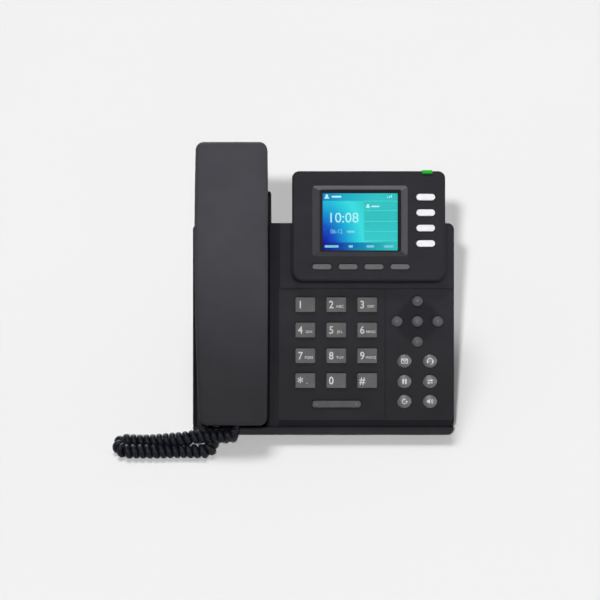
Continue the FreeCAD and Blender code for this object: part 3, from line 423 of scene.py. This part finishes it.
GREEN = moulded("green_lens", srgb(10, 16, 12), srgb(15, 21, 17), rough=(0.45, 0.55), spec=0.05, grain=2500.0, depth=0.00001)
glow_node = GREEN.node_tree.nodes["Principled BSDF"]
lens_v = face_position(GREEN.node_tree)[1]
GREEN.node_tree.links.new(ramp(GREEN.node_tree, band(GREEN.node_tree, lens_v, 194.9, 196.4), [(0.0, (0.0, 0.004, 0.0)), (0.6, srgb(10, 130, 20)), (1.0, srgb(22, 186, 36))]), glow_node.inputs["Emission Color"])
glow_node.inputs["Emission Strength"].default_value = 0.9

SLOTS = {
    "charcoal_plastic": BODY, "handset_plastic": HANDSET_PAINTED_SHADE, "grey_key": KEY, "pale_key": PALE, "green_lens": GREEN, "clear_window": WINDOW,
    "lcd_glass": BLACK, "circuit_board": BOARD, "silicone": SILICONE, "black_plastic": BLACK, "speaker_steel": BASKET, "clear_plug": PLUG,
    "foot_rubber": RUBBER, "screw_steel": STEEL, "cord_jacket": CORD, "ballast_steel": STEEL,
}
OWN = {"rear_housing": REAR, "foot_stand": REAR, "display_bezel": HEAD, "front_housing": DECK_PAINTED_SHADE, "volume_rocker": VOLUME}
OWN.update({"nav_" + k: NAV for k in ("up", "left", "ok", "right", "down")})
OWN.update({"soft_key_%d" % i: SOFT for i in range(1, 5)})
OWN.update({k + "_key": DOME for k in ("message", "headset", "hold", "transfer", "redial", "speaker")})
slot_of = {s["node"]: s["material_slot"] for s in frame["record"]["subparts"]}
for name, ob in frame["nodes"].items():
    m = OWN.get(name) or SLOTS[slot_of[name]]
    if ob.data.materials:
        for i in range(len(ob.data.materials)):
            ob.material_slots[i].material = m
    else:
        ob.data.materials.append(m)


# ------------------------------------------------------------------ curly cord
ROUTE = [
    (-0.06540, -0.07395, 0.02272),
    (-0.06540, -0.07897, 0.01770),
    (-0.07400, -0.07968, 0.01586),
    (-0.08200, -0.07883, 0.01558),
    (-0.09200, -0.07840, 0.01459),
    (-0.10400, -0.08000, 0.01330),
    (-0.11700, -0.07830, 0.00990),
    (-0.12900, -0.07700, 0.00680),
    (-0.14000, -0.07620, 0.00570),
    (-0.14960, -0.07480, 0.00550),
    (-0.15360, -0.07790, 0.00550),
    (-0.15300, -0.08230, 0.00550),
    (-0.14920, -0.08599, 0.00550),
    (-0.14000, -0.08559, 0.00550),
    (-0.12600, -0.08599, 0.00550),
    (-0.11200, -0.08530, 0.00555),
    (-0.09900, -0.08540, 0.00555),
    (-0.08480, -0.08590, 0.00555),
    (-0.08440, -0.07450, 0.00540),
    (-0.08500, -0.06327, 0.00469),
    (-0.08500, -0.05655, 0.01141),
]
STRAND_R = 0.00235  # radius of the jacketed strand
WIND_R = 0.0031     # radius of the winding, measured to the middle of the strand
PITCH = 0.0051      # one turn to the next
LEAD_IN, LEAD_OUT = 0.0062, 0.0225


def spline_points(route):
    cu = bpy.data.curves.new("route", "CURVE")
    cu.dimensions = "3D"
    cu.resolution_u = 40
    sp = cu.splines.new("NURBS")
    sp.points.add(len(route) - 1)
    for p, co in zip(sp.points, route):
        p.co = (*co, 1.0)
    sp.order_u = 3
    sp.use_endpoint_u = True
    ob = bpy.data.objects.new("route", cu)
    me = bpy.data.meshes.new_from_object(ob)
    pts = [v.co.copy() for v in me.vertices]
    bpy.data.objects.remove(ob)
    bpy.data.meshes.remove(me)
    bpy.data.curves.remove(cu)
    return pts


class Line:
    """A line of points with a smooth frame carried along it."""

    def __init__(self, pts):
        self.p = [pts[0]]
        for q in pts[1:]:
            if (q - self.p[-1]).length > 1e-7:
                self.p.append(q)
        self.s = [0.0]
        for a, b in zip(self.p, self.p[1:]):
            self.s.append(self.s[-1] + (b - a).length)
        n = len(self.p)
        self.t = [(self.p[min(i + 1, n - 1)] - self.p[max(i - 1, 0)]).normalized() for i in range(n)]
        up = Vector((0, 0, 1))
        x = (up - self.t[0] * up.dot(self.t[0])).normalized()
        self.x = [x]
        for t in self.t[1:]:
            x = (x - t * x.dot(t)).normalized()
            self.x.append(x)
        self.length = self.s[-1]
        self.i = 0

    def at(self, s):
        while self.i < len(self.s) - 2 and self.s[self.i + 1] < s:
            self.i += 1
        while self.i > 0 and self.s[self.i] > s:
            self.i -= 1
        i = self.i
        f = (s - self.s[i]) / max(1e-9, self.s[i + 1] - self.s[i])
        t = self.t[i].lerp(self.t[i + 1], f).normalized()
        x = self.x[i].lerp(self.x[i + 1], f)
        x = (x - t * x.dot(t)).normalized()
        return self.p[i].lerp(self.p[i + 1], f), t, x

    def bend(self, s, reach=0.003):
        """Radius of the bend around s."""
        a, b = max(0.0, s - reach), min(self.length, s + reach)
        ang = self.at(a)[1].angle(self.at(b)[1], 0.0)
        return (b - a) / max(ang, 1e-6)


def smooth(x):
    x = min(1.0, max(0.0, x))
    return x * x * (3 - 2 * x)


def wind(line):
    """Middle line of the strand: straight leads, and turns that close up where the coil is bent sharply."""
    s, phase, out = 0.0, 0.6, []
    while s < line.length - 0.0003:
        p, t, x = line.at(s)
        y = t.cross(x)
        r = WIND_R * smooth((s - LEAD_IN + 0.004) / 0.008) * smooth((line.length - LEAD_OUT + 0.004 - s) / 0.008)
        out.append(p + (x * math.cos(phase) + y * math.sin(phase)) * r)
        pitch = PITCH * (1 - 0.16 * smooth((0.010 - line.bend(s)) / 0.004))
        pitch = max(pitch, 2 * math.pi * math.sqrt(max(0.0, r * (0.00320 - r))))
        step = pitch / 22 if r > 0.0002 else 0.0004
        s += step
        phase += 2 * math.pi * step / pitch
    out.append(line.at(line.length)[0])
    return out


def sweep(name, pts, radius, seg=12):
    line = Line(pts)
    verts, faces = [], []
    n = len(line.p)
    for i in range(n):
        y = line.t[i].cross(line.x[i])
        for k in range(seg):
            a = 2 * math.pi * k / seg
            verts.append(line.p[i] + (line.x[i] * math.cos(a) + y * math.sin(a)) * radius)
    for i in range(n - 1):
        for k in range(seg):
            a, b = i * seg + k, i * seg + (k + 1) % seg
            faces.append((a, b, b + seg, a + seg))
    faces.append(tuple(range(seg - 1, -1, -1)))
    faces.append(tuple((n - 1) * seg + k for k in range(seg)))
    me = bpy.data.meshes.new(name)
    me.from_pydata(verts, [], faces)
    me.update()
    return me, line


route = Line(spline_points(ROUTE))
strand_mesh, strand = sweep("curly_cord", wind(route), STRAND_R)
cord = bpy.data.objects.new("curly_cord", strand_mesh)
bpy.context.collection.objects.link(cord)
strand_mesh.materials.append(CORD)
strand_mesh.shade_smooth()
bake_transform(cord, "base", "handset", start=(-0.0654, -0.0778, 0.0105), end=(-0.0654, -0.0790, 0.0185))
# the share of the lift is given along the strand, so each ring of it moves as one and the turns between the fold and the handset open evenly
fold = min(range(len(strand.p)), key=lambda i: strand.p[i].x)
share = [smooth((strand.s[fold] - s) / (strand.s[fold] - 0.012)) for s in strand.s]
strand_mesh.attributes["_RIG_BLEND"].data.foreach_set("value", [share[i // 12] for i in range(len(strand_mesh.vertices))])
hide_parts("handset_cord")


# ------------------------------------------------------------------ layout of the face
HEAD_W = 10.5
SCREEN_U, SCREEN_V = (-0.5, 55.5), (138.3, 181.0)
FRAME_U, FRAME_V = (-8.2, 62.9), (133.6, 186.6)
DIAL_U, DIAL_V = (-13.5, 9.7, 32.9), (97.7, 78.7, 59.4, 40.8)
NAV_C, NAV_STEP = (70.6, 85.2), 15.3
FUNC_U, FUNC_V = (60.9, 80.1), (55.5, 40.1, 25.2)
VOL_C = (10.0, 23.2)

# ------------------------------------------------------------------ sloped surround of the screen
STEP_U, STEP_V = (SCREEN_U[0] - 2.3, SCREEN_U[1] + 2.6), (SCREEN_V[0] - 0.9, SCREEN_V[1] + 2.7)


def frame_ring(name, outer, inner, mat):
    """Closed ring between two rounded rectangles, each given as (u range, v range, corner, w, thickness)."""
    rings = []
    for (us, vs, corner, w, thick), low in ((outer, 0), (inner, 0), (inner, 1), (outer, 1)):
        rings.append([(u, v, w - low * thick) for u, v in round_rect(*us, *vs, corner)])
    n = len(rings[0])
    faces = []
    for k in range(4):
        for i in range(n):
            j = (i + 1) % n
            a, b = k * n, ((k + 1) % 4) * n
            faces.append((a + i, a + j, b + j, b + i))
    s = Shape()
    s.add([p for r in rings for p in r], faces)
    piece(name, s.mesh(name), "base", mat, smooth=30)


frame_ring("screen_surround", (FRAME_U, FRAME_V, 2.6, HEAD_W + 0.08, 0.10), (STEP_U, STEP_V, 1.5, 9.38, 0.05), SURROUND_PAINTED_LIGHT)
# the steep inner wall carries painted shade
frame_ring("screen_step", (STEP_U, STEP_V, 1.5, 9.36, 0.05), (SCREEN_U, SCREEN_V, 0.6, 7.99, 0.97), INNER_WALL_PAINTED_SHADE)


# ------------------------------------------------------------------ picture on the screen
def screen_mat(name, stops, along="distance", strength=0.95):
    m, nt, b = new_mat(name)
    uv = node(nt, "ShaderNodeUVMap", uv_map="UVMap").outputs["UV"]
    if along == "distance":
        mp = node(nt, "ShaderNodeMapping")
        mp.inputs["Location"].default_value = (0.05, 0.0, 0)
        mp.inputs["Scale"].default_value = (1.12, 0.58, 0)
        nt.links.new(uv, mp.inputs["Vector"])
        ln = node(nt, "ShaderNodeVectorMath", operation="LENGTH")
        nt.links.new(mp.outputs["Vector"], ln.inputs[0])
        fac = ln.outputs["Value"]
    else:
        sep = node(nt, "ShaderNodeSeparateXYZ")
        nt.links.new(uv, sep.inputs["Vector"])
        fac = sep.outputs[along]
    col = ramp(nt, fac, stops)
    nt.links.new(col, b.inputs["Emission Color"])
    b.inputs["Base Color"].default_value = (0.004, 0.004, 0.006, 1)
    b.inputs["Emission Strength"].default_value = strength
    b.inputs["Roughness"].default_value = 0.5
    b.inputs["Specular IOR Level"].default_value = 0.0
    return m


SCREEN = screen_mat("screen_picture", [(0.0, srgb(10, 4, 150)), (0.13, srgb(6, 18, 172)), (0.26, srgb(6, 84, 204)), (0.40, srgb(12, 160, 222)), (0.55, srgb(36, 212, 230)), (0.66, srgb(62, 234, 236)), (0.85, srgb(48, 216, 212)), (1.0, srgb(40, 204, 196))])
PANEL = screen_mat("screen_panel", [(0.0, srgb(56, 214, 213)), (0.5, srgb(46, 203, 202)), (1.0, srgb(54, 206, 205))], along="Y")
TOP_BAR = screen_mat("screen_top_bar", [(0.0, srgb(10, 132, 202)), (0.3, srgb(28, 182, 212)), (0.7, srgb(48, 208, 210)), (1.0, srgb(44, 204, 200))], along="X")
LOW_BAR = screen_mat("screen_low_bar", [(0.0, srgb(22, 4, 136)), (0.25, srgb(6, 66, 172)), (0.5, srgb(4, 140, 188)), (0.75, srgb(30, 180, 188)), (1.0, srgb(48, 204, 196))], along="X")
RULE = lit("screen_rule", [(0.3, srgb(82, 216, 210)), (0.7, srgb(90, 222, 216))], 0.95)
GLYPH = lit("screen_glyph", [(0.3, srgb(176, 240, 246)), (0.7, srgb(190, 246, 250))], 0.95)
SOFT_GLYPH = lit("screen_soft_glyph", [(0.3, srgb(118, 204, 228)), (0.7, srgb(130, 212, 232))], 0.95)


def su(x):
    return SCREEN_U[0] + (SCREEN_U[1] - SCREEN_U[0]) * x


def sv(y):
    return SCREEN_V[0] + (SCREEN_V[1] - SCREEN_V[0]) * y


def screen_sheet(name, x0, x1, y0, y1, w, mat, nx=24, ny=18):
    me = bpy.data.meshes.new(name)
    verts = [FACE @ Vector((su(x0 + (x1 - x0) * i / nx), sv(y0 + (y1 - y0) * j / ny), h)) for h in (w, w - 0.006) for j in range(ny + 1) for i in range(nx + 1)]
    quads = [(j * (nx + 1) + i, j * (nx + 1) + i + 1, (j + 1) * (nx + 1) + i + 1, (j + 1) * (nx + 1) + i) for j in range(ny) for i in range(nx)]
    half = (nx + 1) * (ny + 1)
    rim = [i for i in range(nx)] + [j * (nx + 1) + nx for j in range(ny)] + [ny * (nx + 1) + i for i in range(nx, 0, -1)] + [j * (nx + 1) for j in range(ny, 0, -1)]
    back = [tuple(k + half for k in reversed(q)) for q in quads]
    sides = [(a, a + half, b + half, b) for a, b in zip(rim, rim[1:] + rim[:1])]
    me.from_pydata(verts, [], quads + back + sides)
    uvl = me.uv_layers.new(name="UVMap")
    for lp in me.loops:
        k = lp.vertex_index % half
        uvl.data[lp.index].uv = (k % (nx + 1) / nx, k // (nx + 1) / ny)
    me.update()
    return piece(name, me, "base", mat)


screen_sheet("screen_picture", -0.005, 1.005, -0.005, 1.005, 5.925, SCREEN)
screen_sheet("screen_list_panel", 0.555, 1.005, 0.165, 0.865, 5.935, PANEL, 4, 12)
screen_sheet("screen_top_bar", -0.005, 1.005, 0.868, 1.005, 5.935, TOP_BAR, 12, 2)
screen_sheet("screen_low_bar", -0.005, 1.005, -0.005, 0.14, 5.935, LOW_BAR, 12, 2)

s = Shape()
for y in (0.865, 0.70, 0.51, 0.335, 0.165):
    s.prism([(su(0.555), sv(y) - 0.22), (su(1.0), sv(y) - 0.22), (su(1.0), sv(y) + 0.22), (su(0.555), sv(y) + 0.22)], 5.936, 5.944)
piece("screen_list_rules", s.mesh("screen_list_rules"), "base", RULE)

s = Shape()


def badge(cu, cv, r):
    """Little head-and-shoulders badge."""
    s.prism(circle(cu, cv + r * 0.42, r * 0.55, 20), 5.94, 5.955)
    s.prism(circle(cu, cv - r * 0.75, r * 0.95, 20, 0, 180), 5.94, 5.955)


badge(su(0.055), sv(0.94), 1.9)
badge(su(0.605), sv(0.775), 1.7)
s.prism(round_rect(su(0.12), su(0.25), sv(0.925), sv(0.957), 0.65, 4), 5.94, 5.955)
s.prism(round_rect(su(0.65), su(0.76), sv(0.757), sv(0.785), 0.55, 4), 5.94, 5.955)
s.prism(round_rect(su(0.86), su(0.875), sv(0.92), sv(0.94), 0.2, 2), 5.94, 5.955)
s.prism(round_rect(su(0.885), su(0.90), sv(0.92), sv(0.955), 0.2, 2), 5.94, 5.955)
s.prism(round_rect(su(0.91), su(0.925), sv(0.92), sv(0.972), 0.2, 2), 5.94, 5.955)
piece("screen_badges", s.mesh("screen_badges"), "base", GLYPH)

s = Shape()
for x0, x1 in ((0.025, 0.215), (0.345, 0.405), (0.585, 0.69), (0.82, 0.945)):
    s.prism(round_rect(su(x0), su(x1), sv(0.05), sv(0.092), 0.8, 4), 5.94, 5.955)
s.prism(round_rect(su(0.325), su(0.43), sv(0.31), sv(0.35), 0.8, 4), 5.94, 5.955)
piece("screen_labels", s.mesh("screen_labels"), "base", SOFT_GLYPH)
piece("screen_clock", text_mesh("screen_clock", [("10:08", su(0.275), sv(0.565), 5.94, 10.6, "CENTER", 1.0, 0.02)], 0.015), "base", GLYPH)
piece("screen_date", text_mesh("screen_date", [("06-12", su(0.185), sv(0.33), 5.94, 4.6, "CENTER", 0.86, 0.03)], 0.015), "base", SOFT_GLYPH)

# ------------------------------------------------------------------ legends on the dial keys
LEGENDS = (
    (("1", "1", ""), ("2", "2", "ABC"), ("3", "3", "DEF")),
    (("4", "4", "GHI"), ("5", "5", "JKL"), ("6", "6", "MNO")),
    (("7", "7", "PQRS"), ("8", "8", "TUV"), ("9", "9", "WXYZ")),
    (("star", "*", ""), ("0", "0", ""), ("hash", "#", "")),
)
for r, row in enumerate(LEGENDS):
    for c, (key, digit, letters) in enumerate(row):
        u, v = DIAL_U[c], DIAL_V[r]
        parts = [(digit, u - 3.7, v - (0.2 if digit != "*" else 1.6), 2.0, 8.0 if digit != "*" else 10.5, "CENTER", 0.92, 0.10)]
        if letters:
            parts.append((letters, u + 2.75, v - 1.35, 2.0, 2.7, "CENTER", 1.12 if len(letters) == 3 else 0.98, 0.03))
        if key == "star":
            parts.append((".", u + 1.2, v - 0.4, 2.0, 6.0, "CENTER", 1.0, 0.05))
        nm = "legend_" + key
        piece(nm, text_mesh(nm, parts, 0.05), "key_" + key + "_body", PRINT)


# ------------------------------------------------------------------ marks on the function keys
def drape(me, cu, cv, radius, top, middle):
    """Lays a flat drawing on a domed key top."""
    bm = bmesh.new()
    bm.from_mesh(me)
    bmesh.ops.triangulate(bm, faces=bm.faces)
    for _ in range(3):
        long = [e for e in bm.edges if e.calc_length() > 0.0008]
        if not long:
            break
        bmesh.ops.subdivide_edges(bm, edges=long, cuts=1)
        bmesh.ops.triangulate(bm, faces=bm.faces)
    back = FACE.inverted()
    for vert in bm.verts:
        p = back @ vert.co
        h = top - radius + math.sqrt(radius * radius - (p.x - cu) ** 2 - (p.y - cv) ** 2)
        p.z = h + 0.07 if p.z > middle else h - 0.25
        vert.co = FACE @ p
    bm.to_mesh(me)
    bm.free()
    me.update()
    return me


def mark(name, body, draw, mat=None, dome=None):
    s = Shape()
    draw(s)
    me = s.mesh(name)
    if dome:
        drape(me, *dome)
    piece(name, me, body, mat or ICON)


LOW, TOP = 1.2, 1.88


def envelope(u, v):
    def draw(s):
        s.ribbon([(u - 2.3, v - 1.55), (u + 2.3, v - 1.55), (u + 2.3, v + 1.55), (u - 2.3, v + 1.55)], 0.55, LOW, TOP, closed=True)
        s.ribbon([(u - 2.2, v + 1.4), (u, v - 0.35), (u + 2.2, v + 1.4)], 0.5, LOW, TOP + 0.01)
    return draw


def headset(u, v):
    def draw(s):
        s.ribbon(circle(u, v + 0.1, 2.0, 16, -10, 190), 0.5, LOW, TOP)
        s.prism(round_rect(u - 2.5, u - 1.4, v - 1.5, v + 0.4, 0.35, 3), LOW, TOP + 0.01)
        s.prism(round_rect(u + 1.4, u + 2.5, v - 1.5, v + 0.4, 0.35, 3), LOW, TOP + 0.01)
        s.ribbon([(u + 2.0, v - 1.4), (u + 1.5, v - 2.2), (u + 0.2, v - 2.3)], 0.45, LOW, TOP)
    return draw


def pause(u, v):
    def draw(s):
        for d in (-1.05, 1.05):
            s.prism(round_rect(u + d - 0.55, u + d + 0.55, v - 1.9, v + 1.9, 0.25, 3), LOW, TOP)
    return draw


def swap(u, v):
    def draw(s):
        for k in (1, -1):
            s.ribbon([(u - 2.1 * k, v + 0.95 * k), (u + 1.0 * k, v + 0.95 * k)], 0.55, LOW, TOP)
            tri = [(u + 0.8 * k, v + 0.95 * k - 1.0), (u + 2.3 * k, v + 0.95 * k), (u + 0.8 * k, v + 0.95 * k + 1.0)]
            s.prism(tri if k > 0 else tri[::-1], LOW, TOP + 0.01)
    return draw


def again(u, v):
    def draw(s):
        s.ribbon(circle(u, v, 1.75, 22, 60, 360), 0.5, LOW, TOP)
        s.prism([(u + 0.75, v + 0.25), (u + 1.75, v - 0.9), (u + 2.75, v + 0.25)][::1], LOW, TOP + 0.01)
    return draw


def loud(u, v):
    def draw(s):
        s.prism([(u - 2.4, v - 0.75), (u - 1.5, v - 0.75), (u - 0.3, v - 1.8), (u - 0.3, v + 1.8), (u - 1.5, v + 0.75), (u - 2.4, v + 0.75)], LOW, TOP)
        s.ribbon(circle(u - 0.3, v, 1.25, 10, -48, 48), 0.45, LOW, TOP)
        s.ribbon(circle(u - 0.3, v, 2.35, 12, -48, 48), 0.45, LOW, TOP)
    return draw


for (key, draw), (c, r) in zip((("message", envelope), ("headset", headset), ("hold", pause), ("transfer", swap), ("redial", again), ("speaker", loud)), ((0, 0), (1, 0), (0, 1), (1, 1), (0, 2), (1, 2))):
    mark("mark_" + key, key + "_key_body", draw(FUNC_U[c], FUNC_V[r]), dome=(FUNC_U[c], FUNC_V[r], 8.5, 1.8, 1.54))

# small chevrons on the navigation keys and signs on the rocker
FAINT = moulded("faint_print", srgb(100, 100, 100), srgb(110, 110, 110), spec=0.1, grain=3000.0, depth=0.00001, edge=0.0001)
for key, du, dv in (("up", 0, 1), ("left", -1, 0), ("right", 1, 0), ("down", 0, -1)):
    cu, cv = NAV_C[0] + NAV_STEP * du, NAV_C[1] + NAV_STEP * dv
    pts = [(cu - du * 0.5 - dv * 1.1, cv - dv * 0.5 - du * 1.1), (cu + du * 0.6, cv + dv * 0.6), (cu - du * 0.5 + dv * 1.1, cv - dv * 0.5 + du * 1.1)]
    mark("mark_nav_" + key, "nav_" + key + "_body", lambda s, pts=pts: s.ribbon(pts, 0.42, 1.1, 1.63), FAINT, (cu, cv, 8.58, 1.6, 1.4))
mark("mark_nav_ok", "nav_ok_body", lambda s: s.ribbon(circle(*NAV_C, 1.15, 20), 0.4, 1.1, 1.63, closed=True), FAINT, (*NAV_C, 8.58, 1.6, 1.4))


def signs(s):
    for d in (-14.6, 14.6):
        s.ribbon([(VOL_C[0] + d - 1.1, VOL_C[1]), (VOL_C[0] + d + 1.1, VOL_C[1])], 0.42, 1.5, 1.84)
    s.ribbon([(VOL_C[0] + 14.6, VOL_C[1] - 1.1), (VOL_C[0] + 14.6, VOL_C[1] + 1.1)], 0.42, 1.5, 1.85)


mark("mark_volume", "volume", signs, FAINT)

# ------------------------------------------------------------------ floor, light and view
floor_mesh = bpy.data.meshes.new("floor")
bm = bmesh.new()
bmesh.ops.create_grid(bm, x_segments=16, y_segments=16, size=40.0)
bm.to_mesh(floor_mesh)
bm.free()
floor = bpy.data.objects.new("floor", floor_mesh)
bpy.context.collection.objects.link(floor)
m, nt, b = new_mat("pale_floor")
co = node(nt, "ShaderNodeTexCoord").outputs["Object"]
n = node(nt, "ShaderNodeTexNoise", Scale=3.0, Detail=2.0)
nt.links.new(co, n.inputs["Vector"])
nt.links.new(ramp(nt, n.outputs["Fac"], [(0.3, (0.721, 0.721, 0.721)), (0.7, (0.729, 0.729, 0.729))]), b.inputs["Base Color"])
b.inputs["Roughness"].default_value = 0.9
b.inputs["Specular IOR Level"].default_value = 0.0
floor_mesh.materials.append(m)

world = bpy.data.worlds.new("studio")
world.use_nodes = True
wt = world.node_tree
bg = wt.nodes["Background"]
sky = node(wt, "ShaderNodeTexCoord").outputs["Generated"]
lean = node(wt, "ShaderNodeVectorMath", operation="DOT_PRODUCT")
lean.inputs[1].default_value = (0.0, 0.42, 0.91)
wt.links.new(sky, lean.inputs[0])
glow = node(wt, "ShaderNodeMapRange", interpolation_type="SMOOTHSTEP")
glow.inputs["From Min"].default_value, glow.inputs["From Max"].default_value = -0.1, 1.0
glow.inputs["To Min"].default_value, glow.inputs["To Max"].default_value = 0.035, 0.165
wt.links.new(lean.outputs["Value"], glow.inputs["Value"])
# a pale band along the horizon, so the floor runs into it in low views
height = node(wt, "ShaderNodeSeparateXYZ")
wt.links.new(sky, height.inputs["Vector"])
rim = node(wt, "ShaderNodeMapRange", interpolation_type="SMOOTHSTEP")
rim.inputs["From Min"].default_value, rim.inputs["From Max"].default_value = 0.15, 0.24
rim.inputs["To Min"].default_value, rim.inputs["To Max"].default_value = 0.885, 0.0
wt.links.new(height.outputs["Z"], rim.inputs["Value"])
brighter = node(wt, "ShaderNodeMath", operation="MAXIMUM")
wt.links.new(glow.outputs["Result"], brighter.inputs[0])
wt.links.new(rim.outputs["Result"], brighter.inputs[1])
wt.links.new(brighter.outputs["Value"], bg.inputs["Strength"])
bg.inputs["Color"].default_value = (1.0, 1.0, 1.0, 1)
bpy.context.scene.world = world


def sun(name, ray, energy, angle):
    """Parallel light; ray is the way the light goes, in face directions."""
    li = bpy.data.lights.new(name, "SUN")
    li.energy = energy
    li.angle = math.radians(angle)
    ob = bpy.data.objects.new(name, li)
    d = (FACE.to_3x3() @ Vector(ray)).normalized()
    ob.rotation_euler = d.to_track_quat("-Z", "Y").to_euler()
    bpy.context.collection.objects.link(ob)
    return ob


def on_floor(state):
    """A light group that leaves the floor out, or holds only the floor."""
    group = bpy.data.collections.new("floor_" + state.lower())
    group.objects.link(floor)
    group.collection_objects[0].light_linking.link_state = state
    return group


# the object's own soft light, from the front, above, behind and the right
OFF_FLOOR = on_floor("EXCLUDE")
for name, ray, energy, angle in (
    ("front_light", (0.04, -0.2, -1.0), 2.22, 5.0),
    ("soft_top", (0.24, -1.0, -0.66), 1.2, 9.0),
    ("back_fill", (0.15, -0.80, 0.60), 4.2, 40.0),
    ("side_fill", (-1.0, 0.0, -0.35), 1.2, 40.0),
):
    sun(name, ray, energy, angle).light_linking.receiver_collection = OFF_FLOOR

# the light that lays the object's shadow on the floor
ONLY_FLOOR = on_floor("INCLUDE")
for name, ray, energy, angle in (("floor_front", (0.122, -0.075, -1.0), 2.385, 3.0), ("floor_top", (0.12, -1.0, -0.60), 1.64, 22.0)):
    sun(name, ray, energy, angle).light_linking.receiver_collection = ONLY_FLOOR

bpy.context.scene.view_settings.view_transform = "Standard"
bpy.context.scene.view_settings.look = "None"
